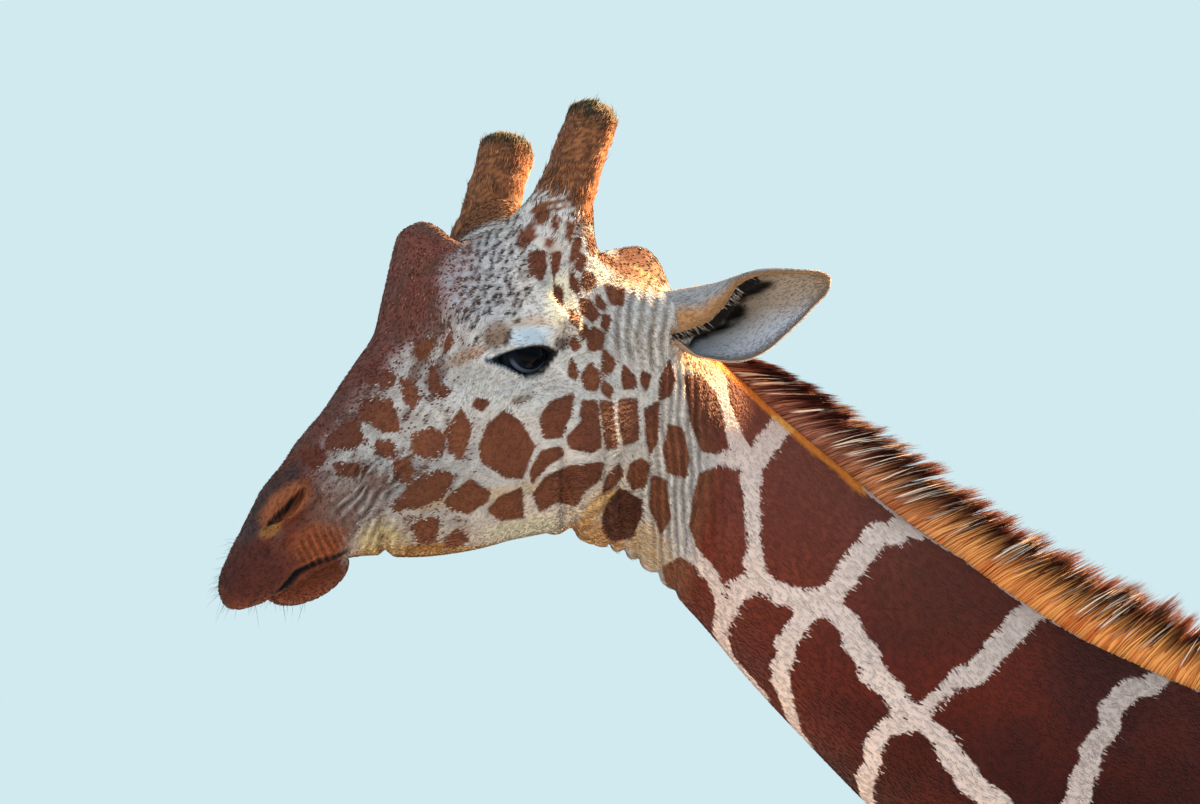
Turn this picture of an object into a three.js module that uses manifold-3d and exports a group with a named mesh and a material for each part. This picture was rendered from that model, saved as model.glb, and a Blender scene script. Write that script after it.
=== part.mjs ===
// A standing reticulated giraffe bull, head turned to its left, as a still life-size model.
// Millimetres. +X is the animal's forward, +Y its left, +Z up. The four soles rest on Z = 0.
// The body is worked out straight and symmetric, and the head is turned at the very end.
import * as THREE from "three";
import { mergeVertices } from "three/addons/utils/BufferGeometryUtils.js";
import Module from "manifold-3d";

const wasm = await Module();
wasm.setup();

const GAP = 0.4; // between two parts that meet

// ---------------------------------------------------------------- the trunk, from lip to tail
// Each section spans the middle plane from the top line to the bottom line [x, z].
// half is the half width, taper narrows the top, and square below 1 squares the outline.
const SECTIONS = [
  { at: "lip tip", top: [2094, 3604], bottom: [2088, 3581], half: 18, taper: 0, square: 1 },
  { at: "lip front", top: [2084, 3627], bottom: [2070, 3561], half: 34, taper: 0.1, square: 0.9 },
  { at: "upper lip", top: [2064, 3659], bottom: [2040, 3567], half: 42, taper: 0.3, square: 0.85 },
  { at: "nostril front", top: [2036, 3694], bottom: [2006, 3592], half: 46, taper: 0.42, square: 0.85 },
  { at: "nostril back", top: [2004, 3736], bottom: [1968, 3614], half: 50, taper: 0.42, square: 0.85 },
  { at: "mouth corner", top: [1973, 3782], bottom: [1930, 3634], half: 54, taper: 0.38, square: 0.85 },
  { at: "chin groove", top: [1938, 3826], bottom: [1885, 3643], half: 59, taper: 0.36, square: 0.88 },
  { at: "cheek teeth", top: [1904, 3871], bottom: [1812, 3646], half: 70, taper: 0.36, square: 0.9 },
  { at: "face", top: [1876, 3910], bottom: [1740, 3660], half: 86, taper: 0.36, square: 0.92 },
  { at: "below the brow bump", top: [1862, 3958], bottom: [1695, 3674], half: 98, taper: 0.38, square: 0.95 },
  { at: "under the brow bump", top: [1844, 3994], bottom: [1668, 3681], half: 105, taper: 0.36, square: 0.92 },
  { at: "behind the brow bump", top: [1800, 4014], bottom: [1644, 3687], half: 109, taper: 0.26, square: 0.86 },
  { at: "forehead", top: [1752, 4022], bottom: [1622, 3692], half: 112, taper: 0.12, square: 0.8 },
  { at: "crown", top: [1690, 4048], bottom: [1600, 3690], half: 109, taper: 0.04, square: 0.72 },
  { at: "back of the crown", top: [1610, 4032], bottom: [1578, 3686], half: 99, taper: 0.06, square: 0.8 },
  { at: "poll", top: [1530, 4006], bottom: [1554, 3680], half: 92, taper: 0.1, square: 0.95 },
  { at: "nape", top: [1468, 3960], bottom: [1528, 3672], half: 92, taper: 0.16, square: 1 },
  { at: "axis", top: [1412, 3904], bottom: [1494, 3648], half: 92, taper: 0.22, square: 1 },
  { at: "neck end", top: [1340, 3831], bottom: [1448, 3600], half: 92, taper: 0.26, square: 1 },
  { at: "high neck", top: [1230, 3742], bottom: [1383, 3522], half: 96, taper: 0.28, square: 1 },
  { at: "upper neck", top: [1090, 3637], bottom: [1288, 3420], half: 102, taper: 0.28, square: 1 },
  { at: "middle neck", top: [930, 3544], bottom: [1166, 3294], half: 112, taper: 0.28, square: 1 },
  { at: "lower middle neck", top: [760, 3478], bottom: [1032, 3148], half: 126, taper: 0.28, square: 1 },
  { at: "lower neck", top: [580, 3404], bottom: [896, 2980], half: 144, taper: 0.28, square: 1 },
  { at: "neck base", top: [400, 3318], bottom: [768, 2796], half: 168, taper: 0.28, square: 1 },
  { at: "top of the breast", top: [230, 3230], bottom: [658, 2606], half: 200, taper: 0.32, square: 1 },
  { at: "shoulder point", top: [70, 3160], bottom: [566, 2404], half: 236, taper: 0.36, square: 0.98 },
  { at: "withers", top: [-80, 3108], bottom: [444, 2164], half: 268, taper: 0.4, square: 0.95 },
  { at: "brisket", top: [-230, 3032], bottom: [246, 1980], half: 296, taper: 0.36, square: 0.92 },
  { at: "girth", top: [-400, 2932], bottom: [-40, 1898], half: 322, taper: 0.26, square: 0.9 },
  { at: "ribs", top: [-600, 2840], bottom: [-370, 1888], half: 338, taper: 0.2, square: 0.9 },
  { at: "belly", top: [-800, 2766], bottom: [-680, 1934], half: 328, taper: 0.16, square: 0.9 },
  { at: "flank", top: [-980, 2700], bottom: [-930, 2010], half: 300, taper: 0.12, square: 0.92 },
  { at: "hips", top: [-1130, 2622], bottom: [-1120, 2084], half: 280, taper: 0.1, square: 0.92 },
  { at: "croup", top: [-1262, 2512], bottom: [-1258, 2160], half: 236, taper: 0.05, square: 0.92 },
  { at: "buttock", top: [-1352, 2410], bottom: [-1350, 2240], half: 150, taper: 0.0, square: 1 },
  { at: "tail head", top: [-1396, 2350], bottom: [-1394, 2300], half: 46, taper: 0.0, square: 1 },
];
const HEAD_TO_NECK = 16; // the cuts across the trunk, as stations
const NECK_MIDDLE = 20.5;
const NECK_TO_TORSO = 25;

// Soft swellings and hollows of the sides: centre [x, z], reach [x, z], outward in mm.
const SWELLS = [
  { of: "brow ridge", centre: [1702, 3922], reach: [42, 32], out: 18 },
  { of: "root of the horn", centre: [1682, 4000], reach: [46, 40], out: 20 },
  { of: "cheek bone", centre: [1775, 3812], reach: [90, 26], out: 9 },
  { of: "jaw muscle", centre: [1655, 3775], reach: [62, 66], out: 12 },
  { of: "inner corner hollow", centre: [1816, 3872], reach: [36, 28], out: -8 },
  { of: "temple hollow", centre: [1640, 3930], reach: [34, 40], out: -7 },
  { of: "nose side hollow", centre: [1905, 3765], reach: [62, 46], out: -8 },
  { of: "ear root", centre: [1575, 3935], reach: [50, 46], out: 10 },
  { of: "atlas wing", centre: [1440, 3840], reach: [90, 70], out: 12 },
  { of: "windpipe hollow", centre: [1330, 3600], reach: [200, 60], out: -6 },
  { of: "orbit", centre: [1745, 3884], reach: [62, 50], out: 9 },
  { of: "shoulder", centre: [200, 2300], reach: [210, 380], out: 66 },
  { of: "behind the shoulder", centre: [-90, 2330], reach: [90, 340], out: -22 },
  { of: "flank hollow", centre: [-900, 2400], reach: [130, 190], out: -30 },
  { of: "haunch", centre: [-1120, 2270], reach: [200, 290], out: 62 },
];

// Bumps that rise from the surface: centre, reach and push, each [x, y, z], alike on both sides.
const BUMPS = [
  { of: "brow bump", centre: [1816, 0, 4008], reach: [42, 44, 48], push: [17, 0, 32] },
  { of: "poll knob", centre: [1522, 0, 4002], reach: [44, 48, 50], push: [-15, 0, 35] },
  { of: "ear base", centre: [1584, 92, 3936], reach: [44, 60, 46], push: [-4, 22, 2] },
  { of: "horn base", centre: [1688, 74, 4022], reach: [50, 44, 50], push: [2, 16, 18] },
];

// ---------------------------------------------------------------- legs
// Rings down the leg: z, centre x, half depth fore and aft, half width, centre y.
const FORELEG = [
  { at: "shoulder", z: 2450, x: 250, deep: 120, wide: 60, y: 160 },
  { at: "upper arm", z: 2180, x: 214, deep: 166, wide: 100, y: 206 },
  { at: "elbow", z: 1920, x: 150, deep: 140, wide: 92, y: 204 },
  { at: "forearm", z: 1740, x: 134, deep: 112, wide: 80, y: 194 },
  { at: "mid forearm", z: 1420, x: 136, deep: 86, wide: 66, y: 186 },
  { at: "above the knee", z: 1160, x: 142, deep: 68, wide: 58, y: 184 },
  { at: "knee", z: 1030, x: 152, deep: 76, wide: 66, y: 184 },
  { at: "below the knee", z: 900, x: 140, deep: 58, wide: 53, y: 184 },
  { at: "cannon", z: 620, x: 132, deep: 48, wide: 43, y: 184 },
  { at: "above the fetlock", z: 390, x: 130, deep: 49, wide: 45, y: 184 },
  { at: "fetlock", z: 290, x: 128, deep: 66, wide: 58, y: 184 },
  { at: "pastern", z: 205, x: 150, deep: 56, wide: 54, y: 184 },
  { at: "coronet", z: 142, x: 172, deep: 78, wide: 70, y: 184 },
  { at: "hoof wall", z: 64, x: 190, deep: 98, wide: 80, y: 184 },
  { at: "sole", z: 0, x: 204, deep: 112, wide: 86, y: 184 },
];
const HINDLEG = [
  { at: "hip", z: 2420, x: -1120, deep: 150, wide: 70, y: 140 },
  { at: "thigh", z: 2180, x: -1096, deep: 226, wide: 118, y: 178 },
  { at: "lower thigh", z: 1960, x: -1066, deep: 196, wide: 104, y: 190 },
  { at: "stifle", z: 1780, x: -1060, deep: 156, wide: 88, y: 190 },
  { at: "gaskin", z: 1550, x: -1112, deep: 112, wide: 68, y: 184 },
  { at: "lower gaskin", z: 1300, x: -1186, deep: 78, wide: 54, y: 180 },
  { at: "above the hock", z: 1130, x: -1246, deep: 74, wide: 50, y: 178 },
  { at: "hock", z: 1020, x: -1258, deep: 82, wide: 56, y: 178 },
  { at: "below the hock", z: 890, x: -1232, deep: 60, wide: 49, y: 178 },
  { at: "cannon", z: 620, x: -1208, deep: 49, wide: 43, y: 178 },
  { at: "above the fetlock", z: 390, x: -1198, deep: 49, wide: 45, y: 178 },
  { at: "fetlock", z: 290, x: -1196, deep: 64, wide: 57, y: 178 },
  { at: "pastern", z: 205, x: -1174, deep: 55, wide: 53, y: 178 },
  { at: "coronet", z: 142, x: -1154, deep: 76, wide: 68, y: 178 },
  { at: "hoof wall", z: 64, x: -1138, deep: 94, wide: 78, y: 178 },
  { at: "sole", z: 0, x: -1126, deep: 106, wide: 83, y: 178 },
];
const LEG_TOP = 1800; // the cut below the chest, level with the elbow
const CORONET = 134; // the cut between leg and hoof
const STRIDE = { fore: { left: 60, right: -50 }, hind: { left: -60, right: 70 } }; // a hoof's step forward
const CLEFT = { width: 9, depth: 86 }; // the split of the two toes, from the front

// ---------------------------------------------------------------- head details
const EYE = { at: [1736, 3880], out: 88, radius: 30, lid: 34.5 };
const LIDS = { at: [1753, 3874.5], half: 43, above: 8, below: 22, tilt: 12.5, from: 97 };
const NOSTRIL = {
  at: [2020, 3686], rim: [46, 13, 19], rimOut: 21, slit: [29, 24, 6], slitOut: 32, slope: -38, slitSlope: -43,
};
const LOWER_LIP = { at: [1979, 3609], half: [60, 42, 33], slope: -28 };
const MOUTH = { line: [[2056, 3562], [2026, 3588], [1991, 3610], [1944, 3631]], gape: 3.5 };
const EAR_BASE = { at: [1566, 84, 3936], half: [50, 30, 38] };
const HORN = {
  root: [1702, 71, 3984],
  tips: { left: [1634, 92, 4181], right: [1636, 94, 4168] },
  radii: [36, 41, 39, 35, 33, 32, 29, 18],
  cut: 0.36,
};
const EAR = {
  root: [1556, 84, 3930],
  tip: [1377, 190, 3984],
  opens: [0.454, 0.881, -0.132],
  above: [25, 31, 33, 31, 25, 15], // half widths towards the upper edge, root to tip
  below: [26, 46, 64, 62, 42, 18],
  cup: [30, 34, 28, 20, 12, 6],
  wall: 5,
  cut: 0.14,
};

// ---------------------------------------------------------------- mane and tail
// Heights square to the crest, and how far each height leans back along the crest, head to withers.
const MANE = {
  from: 16.7,
  to: 26.6,
  height: [34, 62, 76, 84, 87, 84, 72, 44],
  lean: [1.1, 0.8, 0.5, 0.3, 0.1, 0.1, 0.1, 0.1],
  half: 9,
  sink: 20,
  core: 0.48, // the share of the height that is one closed fin
  locks: 32,
  bends: [0, 0.36, 0.68, 1],
  wide: [26, 36, 32, 7],
  thick: [7, 7.5, 5.5, 1.5],
};
const TAIL = {
  path: [[-1370, 2336], [-1432, 2322], [-1474, 2220], [-1482, 2030], [-1476, 1800], [-1468, 1570]],
  radii: [46, 40, 31, 25, 20, 17],
  cut: [-1408, 2330],
};
const TUFT = {
  top: [-1470, 1640],
  bottom: [-1456, 1050],
  core: [19, 27, 26, 20, 6], // radii down to half way
  locks: 12,
  bends: [0, 0.16, 0.45, 0.75, 1],
  reach: [6, 26, 40, 36, 20], // from the middle line
  wide: [14, 25, 25, 17, 4],
  thick: [6, 8, 7, 5, 1.5],
};

// ---------------------------------------------------------------- the turn of the head
const TURN = { angle: 33, pivot: 1487, along: [0.77, 0.64], from: 3440, to: 3660 };

/** The point p turned about the upright axis at the pivot: none at the neck, full at the head. */
function turned(p, whole = false) {
  const along = p.x * TURN.along[0] + p.z * TURN.along[1];
  const share = whole ? 1 : THREE.MathUtils.smoothstep(along, TURN.from, TURN.to);
  const angle = THREE.MathUtils.degToRad(TURN.angle) * share;
  const x = p.x - TURN.pivot;
  return new THREE.Vector3(
    TURN.pivot + x * Math.cos(angle) - p.y * Math.sin(angle),
    x * Math.sin(angle) + p.y * Math.cos(angle),
    p.z,
  );
}

// ---------------------------------------------------------------- small tools
/** The solid of a closed three.js geometry, with its shared vertices merged. */
function solidOf(geometry) {
  const bare = new THREE.BufferGeometry().setAttribute("position", geometry.getAttribute("position"));
  if (geometry.index) bare.setIndex(geometry.index);
  const merged = mergeVertices(bare, 1e-3);
  const vertProperties = Float32Array.from(merged.attributes.position.array);
  const triVerts = Uint32Array.from(merged.index.array);
  const made = new wasm.Manifold(new wasm.Mesh({ numProp: 3, vertProperties, triVerts }));
  if (made.volume() > 0) return made;
  for (let i = 0; i < triVerts.length; i += 3) [triVerts[i + 1], triVerts[i + 2]] = [triVerts[i + 2], triVerts[i + 1]];
  return new wasm.Manifold(new wasm.Mesh({ numProp: 3, vertProperties, triVerts }));
}

/** The solid with every vertex moved by the given function. */
function reshaped(solid, move) {
  const { numProp, vertProperties, triVerts } = solid.getMesh();
  const moved = new Float32Array((vertProperties.length / numProp) * 3);
  for (let i = 0; i < moved.length / 3; i++) {
    const at = i * numProp;
    move(new THREE.Vector3(vertProperties[at], vertProperties[at + 1], vertProperties[at + 2])).toArray(moved, i * 3);
  }
  return new wasm.Manifold(new wasm.Mesh({ numProp: 3, vertProperties: moved, triVerts }));
}

/** A closed skin over rings of points, one ring after another, with a point closing each end. */
function loft(rings) {
  const round = rings[0].length;
  const ends = [rings[0], rings.at(-1)].map((ring) =>
    ring.reduce((sum, p) => sum.add(p), new THREE.Vector3()).divideScalar(round),
  );
  const points = [...rings.flat(), ...ends];
  const index = [];
  rings.slice(1).forEach((_, r) => {
    for (let i = 0; i < round; i++) {
      const j = (i + 1) % round;
      const [a, b, c, d] = [r * round + i, r * round + j, (r + 1) * round + j, (r + 1) * round + i];
      index.push(a, b, c, a, c, d);
    }
  });
  const last = (rings.length - 1) * round;
  for (let i = 0; i < round; i++) {
    const j = (i + 1) % round;
    index.push(points.length - 2, j, i, points.length - 1, last + i, last + j);
  }
  return solidOf(new THREE.BufferGeometry().setFromPoints(points).setIndex(index));
}

/** A value read along a list of equally spaced control values, t from 0 to 1. */
const along = (values, t) =>
  new THREE.CatmullRomCurve3(values.map((v) => new THREE.Vector3(v, 0, 0))).getPoint(t).x;

/** An ellipsoid of half sizes [x, y, z], tipped by slope degrees in the middle plane. */
function egg([x, y, z], size, slope = 0, fine = 16) {
  const geometry = new THREE.SphereGeometry(1, fine, Math.round(fine * 0.6));
  geometry.scale(...size);
  geometry.rotateY(-THREE.MathUtils.degToRad(slope));
  return solidOf(geometry.translate(x, y, z));
}

/** The largest body of a solid. */
const largest = (solid) => solid.decompose().sort((a, b) => b.volume() - a.volume())[0];

/** The part of a solid on the far side of a plane through point, along normal. */
function beyond(solid, point, normal, gap = GAP) {
  const n = normal.clone().normalize();
  return largest(solid.trimByPlane(n.toArray(), n.dot(point) + gap / 2));
}

/** Both sides of a plane through point, with the gap between them: [beyond it, before it]. */
const parted = (solid, point, normal, gap = GAP) => [
  beyond(solid, point, normal, gap),
  beyond(solid, point, normal.clone().negate(), gap),
];

const joined = (solids) => solids.reduce((a, b) => a.add(b));
const mirrored = (solid) => solid.mirror([0, 1, 0]);
const inPlane = ([x, z], y = 0) => new THREE.Vector3(x, y, z);

// ---------------------------------------------------------------- trunk
const curveOf = (read) => new THREE.CatmullRomCurve3(SECTIONS.map(read), false, "centripetal");
const TOP_LINE = curveOf((s) => inPlane(s.top));
const BOTTOM_LINE = curveOf((s) => inPlane(s.bottom));
const FORM = curveOf((s) => new THREE.Vector3(s.half, s.taper * 100, s.square * 100));

/** The trunk's surface at station s (an index into SECTIONS, with fractions) and angle v from the top. */
function trunkPoint(s, v, grow = 0) {
  const t = s / (SECTIONS.length - 1);
  const top = TOP_LINE.getPoint(t);
  const bottom = BOTTOM_LINE.getPoint(t);
  const form = FORM.getPoint(t);
  const square = form.z / 100;
  const rise = Math.sign(Math.cos(v)) * Math.abs(Math.cos(v)) ** square;
  const out = Math.sign(Math.sin(v)) * Math.abs(Math.sin(v)) ** square;
  const p = bottom.clone().lerp(top, 0.5 + rise / 2);
  p.y = form.x * out * (1 - (form.y / 100) * rise);
  for (const swell of SWELLS) {
    const dx = (p.x - swell.centre[0]) / swell.reach[0];
    const dz = (p.z - swell.centre[1]) / swell.reach[1];
    p.y += out * swell.out * Math.exp(-dx * dx - dz * dz);
  }
  for (const { centre, reach, push } of BUMPS) {
    const off = [p.x - centre[0], Math.abs(p.y) - centre[1], p.z - centre[2]];
    const share = Math.exp(-off.reduce((sum, d, i) => sum + (d / reach[i]) ** 2, 0));
    p.add(new THREE.Vector3(push[0], Math.sign(out) * push[1], push[2]).multiplyScalar(share));
  }
  p.y += grow * out;
  return p.addScaledVector(top.sub(bottom).normalize(), grow * rise);
}

/** The trunk as one closed solid of rings, its sides moved out by grow. */
function makeTrunk(grow = 0, round = 32) {
  const stations = [];
  const spans = [[0, 12, 2], [12, 20, 2], [20, 26, 1], [26, SECTIONS.length - 1, 1.25]];
  for (const [from, to, each] of spans)
    for (let i = 0; i < (to - from) * each - 1e-6; i++) stations.push(from + i / each);
  stations.push(SECTIONS.length - 1);
  return loft(
    stations.map((s) =>
      Array.from({ length: round }, (_, i) => trunkPoint(s, ((i + 0.5) / round) * 2 * Math.PI, grow)),
    ),
  );
}

// ---------------------------------------------------------------- legs
/** A leg's closed solid on the animal's left, its hoof moved forward by step. */
function makeLeg(rings, step, round = 14) {
  const each = (key) => new THREE.CatmullRomCurve3(rings.map((r) => new THREE.Vector3(r[key], 0, r.z)), false, "centripetal");
  const curves = { x: each("x"), deep: each("deep"), wide: each("wide"), y: each("y") };
  const levels = rings.flatMap((_, i) => (i && i < rings.length - 6 ? [i - 0.5, i] : [i]));
  return loft(
    levels.map((level) => {
      const t = level / (rings.length - 1);
      const [x, deep, wide, y] = ["x", "deep", "wide", "y"].map((key) => curves[key].getPoint(t).x);
      const z = curves.x.getPoint(t).z;
      const moved = x + step * (1 - THREE.MathUtils.clamp(z / LEG_TOP, 0, 1));
      return Array.from({ length: round }, (_, i) => {
        const v = ((i + 0.5) / round) * 2 * Math.PI;
        return new THREE.Vector3(moved + deep * Math.cos(v), y + wide * Math.sin(v), z);
      });
    }),
  );
}

/** The slot between the two toes of a hoof, open to the front. */
function makeCleft(rings, step) {
  const sole = rings.at(-1);
  const geometry = new THREE.BoxGeometry(CLEFT.depth, CLEFT.width, 2 * CORONET);
  return solidOf(geometry.translate(sole.x + step + sole.deep + 6 - CLEFT.depth / 2, sole.y, 0));
}

// ---------------------------------------------------------------- head
/** A shape of the middle plane, [x, z], run across the head from one y to another. */
function acrossHead(outline, fromY, toY) {
  const geometry = new THREE.ExtrudeGeometry(outline, { depth: toY - fromY, bevelEnabled: false, curveSegments: 7 });
  geometry.rotateX(Math.PI / 2); // the outline's second axis is now +Z, and its depth runs towards -Y
  return solidOf(geometry.translate(0, toY, 0));
}

/** The almond between the left eye's lids. */
function makeLidOpening() {
  const at = new THREE.Vector2(...LIDS.at);
  const tilt = THREE.MathUtils.degToRad(-LIDS.tilt);
  const point = (x, z) => new THREE.Vector2(x, z).rotateAround(new THREE.Vector2(), tilt).add(at);
  const outline = new THREE.Shape();
  const [front, back] = [point(LIDS.half, 0), point(-LIDS.half, 0)];
  const [over, under] = [point(0, 2 * LIDS.above), point(0, -2 * LIDS.below)];
  outline.moveTo(back.x, back.y);
  outline.quadraticCurveTo(over.x, over.y, front.x, front.y);
  outline.quadraticCurveTo(under.x, under.y, back.x, back.y);
  return acrossHead(outline, LIDS.from, LIDS.from + 60);
}

/** The slit of the mouth, right across the lips. */
function makeMouthSlit() {
  const line = new THREE.SplineCurve(MOUTH.line.map((p) => new THREE.Vector2(...p))).getPoints(9);
  const lower = line.map((p) => p.clone().add(new THREE.Vector2(-0.45, -0.9).multiplyScalar(MOUTH.gape)));
  return acrossHead(new THREE.Shape([...line, ...lower.reverse()]), -70, 70);
}

/** The ear as a cupped leaf with a wall, on the left. */
function makeEar(rows = 10, columns = 8) {
  const root = new THREE.Vector3(...EAR.root);
  const run = new THREE.Vector3(...EAR.tip).sub(root);
  const opens = new THREE.Vector3(...EAR.opens).normalize();
  const upward = new THREE.Vector3().crossVectors(opens, run).normalize();
  if (upward.z < 0) upward.negate();
  const leaf = (a, b, inset) => {
    const width = b > 0 ? along(EAR.above, a) : along(EAR.below, a);
    const close = Math.sqrt(Math.max(0, 1 - a ** 4));
    const cup = along(EAR.cup, a) * (b * b - 0.6);
    return root
      .clone()
      .addScaledVector(run, a)
      .addScaledVector(upward, (b * (width - inset * 0.5)) * Math.max(close, 0.12))
      .addScaledVector(opens, cup + inset * (1 - 0.5 * b * b));
  };
  const rings = Array.from({ length: rows + 1 }, (_, r) => {
    const a = 0.985 * (r / rows);
    const outer = Array.from({ length: columns + 1 }, (_, c) => leaf(a, -1 + (2 * c) / columns, 0));
    const inner = Array.from({ length: columns + 1 }, (_, c) => leaf(a, 1 - (2 * c) / columns, EAR.wall));
    return [...outer, ...inner];
  });
  return loft(rings);
}

/** A horn's closed solid on the left, from inside the skull to its blunt top. */
function makeHorn(tipAt, round = 14) {
  const root = new THREE.Vector3(...HORN.root);
  const tip = new THREE.Vector3(...tipAt);
  const axis = tip.clone().sub(root).normalize();
  const side = new THREE.Vector3(0, 1, 0).cross(axis).normalize();
  const across = new THREE.Vector3().crossVectors(axis, side);
  const rings = 9;
  return loft(
    Array.from({ length: rings + 1 }, (_, r) => {
      const a = Math.sin((r / rings) * Math.PI * 0.5);
      const radius = along(HORN.radii, a);
      return Array.from({ length: round }, (_, i) => {
        const v = ((i + 0.5) / round) * 2 * Math.PI;
        return root
          .clone()
          .lerp(tip, a)
          .addScaledVector(side, radius * Math.cos(v))
          .addScaledVector(across, radius * Math.sin(v));
      });
    }),
  );
}

/** The left horn for one tip, parted into what stands free and the stub on the skull. */
function partedHorn(tipAt) {
  const root = new THREE.Vector3(...HORN.root);
  const axis = new THREE.Vector3(...tipAt).sub(root);
  return parted(makeHorn(tipAt), root.addScaledVector(axis, HORN.cut), axis);
}

// ---------------------------------------------------------------- tail and mane, plain forms
function makeTail(round = 12) {
  const path = new THREE.CatmullRomCurve3(TAIL.path.map((p) => inPlane(p)));
  const steps = 12;
  return loft(
    Array.from({ length: steps + 1 }, (_, r) => {
      const t = r / steps;
      const centre = path.getPoint(t);
      const heading = path.getTangent(t);
      const across = new THREE.Vector3(0, 1, 0);
      const outward = new THREE.Vector3().crossVectors(heading, across).normalize();
      const radius = along(TAIL.radii, t);
      return Array.from({ length: round }, (_, i) => {
        const v = ((i + 0.5) / round) * 2 * Math.PI;
        return centre
          .clone()
          .addScaledVector(across, radius * Math.cos(v))
          .addScaledVector(outward, radius * Math.sin(v));
      });
    }),
  );
}

/** The crest of the neck at station s: its point, its outward direction and its run towards the tail. */
function crest(s) {
  const here = trunkPoint(s, 0);
  const run = trunkPoint(s + 0.02, 0).sub(here).normalize();
  return { here, run, out: new THREE.Vector3(-run.z, 0, run.x).multiplyScalar(Math.sign(run.x) || 1) };
}

/** A repeatable draw between -1 and 1 for the i-th of many, the k-th draw of its kind. */
const draw = (i, k) => {
  const wave = Math.sin(i * 12.9898 + k * 78.233) * 43758.5453;
  return 2 * (wave - Math.floor(wave)) - 1;
};

/** A flat lock of hair along a path of points, its width lying along across, tapered to its tip. */
function makeLock(path, across, wide, thick) {
  return loft(
    path.map((p, i) => {
      const t = i / (path.length - 1);
      const run = path[Math.min(i + 1, path.length - 1)].clone().sub(path[Math.max(i - 1, 0)]).normalize();
      const thin = new THREE.Vector3().crossVectors(run, across).normalize();
      const flat = new THREE.Vector3().crossVectors(thin, run);
      const [w, h] = [along(wide, t), along(thick, t)];
      return [[w, 0], [0, h], [-w, 0], [0, -h]].map(([a, b]) =>
        p.clone().addScaledVector(flat, a).addScaledVector(thin, b),
      );
    }),
  );
}

/** The low closed fin along the crest that the mane's locks are rooted in. */
function makeManeCore(steps = 20) {
  return loft(
    Array.from({ length: steps + 1 }, (_, r) => {
      const { here, out, run } = crest(MANE.from + ((MANE.to - MANE.from) * r) / steps);
      const high = along(MANE.height, r / steps) * MANE.core;
      const lean = along(MANE.lean, r / steps);
      return [
        [-MANE.half, -MANE.sink],
        [-MANE.half * 0.4, high],
        [MANE.half * 0.4, high],
        [MANE.half, -MANE.sink],
      ].map(([y, up]) => here.clone().addScaledVector(out, up).addScaledVector(run, up * lean).setY(y));
    }),
  );
}

/** The mane along the crest: two rows of upright locks that lean back over one another. */
function makeMane() {
  const locks = Array.from({ length: MANE.locks }, (_, i) => {
    const t = (i + 0.5) / MANE.locks;
    const { here, out, run } = crest(MANE.from + (MANE.to - MANE.from) * t);
    const high = along(MANE.height, t) * (1 + 0.07 * draw(i, 1));
    const lean = along(MANE.lean, t) + 0.14 * draw(i, 2);
    const side = i % 2 ? 1 : -1;
    const path = MANE.bends.map((u) =>
      here
        .clone()
        .addScaledVector(out, u * high - (1 - u) * MANE.sink)
        .addScaledVector(run, high * lean * u ** 1.4)
        .setY(side * (3 + 5 * u) + 2 * draw(i, 3)),
    );
    return makeLock(path, run, MANE.wide, MANE.thick);
  });
  return joined([makeManeCore(), ...locks]);
}

/** The plane between two lengths of mane at station s, along the lie of the hair. */
function acrossMane(s) {
  const { here, out, run } = crest(s);
  const lean = along(MANE.lean, (s - MANE.from) / (MANE.to - MANE.from));
  return [here, run.addScaledVector(out, -lean)];
}

/** The brush at the tail's end: locks that hang over one another from a core half as long. */
function makeTuft() {
  const level = (u) => inPlane(TUFT.top).lerp(inPlane(TUFT.bottom), u);
  const around = (u, v, radius) => level(u).add(new THREE.Vector3(Math.cos(v), Math.sin(v), 0).multiplyScalar(radius));
  const rows = 5;
  const core = loft(
    Array.from({ length: rows + 1 }, (_, r) =>
      Array.from({ length: 8 }, (_, i) =>
        around(-0.02 + (0.5 * r) / rows, ((i + 0.5) / 8) * 2 * Math.PI, along(TUFT.core, r / rows)),
      ),
    ),
  );
  const locks = Array.from({ length: TUFT.locks }, (_, i) => {
    const share = i / (TUFT.locks - 1);
    const turn = i * 2.4 + 0.3 * draw(i, 4);
    const from = 0.05 + 0.36 * share;
    const to = 0.86 + 0.14 * draw(i, 5);
    const path = TUFT.bends.map((u, k) =>
      around(from + (to - from) * u, turn + 0.35 * u * draw(i, 6), TUFT.reach[k] * (1 - 0.3 * share)),
    );
    const across = new THREE.Vector3(-Math.sin(turn), Math.cos(turn), 0);
    return makeLock(path, across, TUFT.wide, TUFT.thick);
  });
  return joined([core, ...locks]);
}

// ---------------------------------------------------------------- the head's own parts join the straight trunk
const nodes = {};
const ball = (radius) => egg([EYE.at[0], EYE.out, EYE.at[1]], [radius, radius, radius]);
const atNostril = (out) => [NOSTRIL.at[0], out, NOSTRIL.at[1]];
const earAxis = new THREE.Vector3(...EAR.tip).sub(new THREE.Vector3(...EAR.root));
const earCut = new THREE.Vector3(...EAR.root).addScaledVector(earAxis, EAR.cut);
const [earCup, earStub] = parted(makeEar(), earCut, earAxis);
const [, earBase] = parted(egg(EAR_BASE.at, EAR_BASE.half), earCut, earAxis);
const [hornLeft, hornStubLeft] = partedHorn(HORN.tips.left);
const [hornRight, hornStubRight] = partedHorn(HORN.tips.right);
const bothSides = (solid) => [solid, mirrored(solid)];
const added = [
  egg([LOWER_LIP.at[0], 0, LOWER_LIP.at[1]], LOWER_LIP.half, LOWER_LIP.slope),
  ...bothSides(ball(EYE.lid)),
  ...bothSides(egg(atNostril(NOSTRIL.rimOut), NOSTRIL.rim, NOSTRIL.slope)),
  ...bothSides(earBase),
  ...bothSides(earStub),
  hornStubLeft,
  mirrored(hornStubRight),
];
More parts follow.
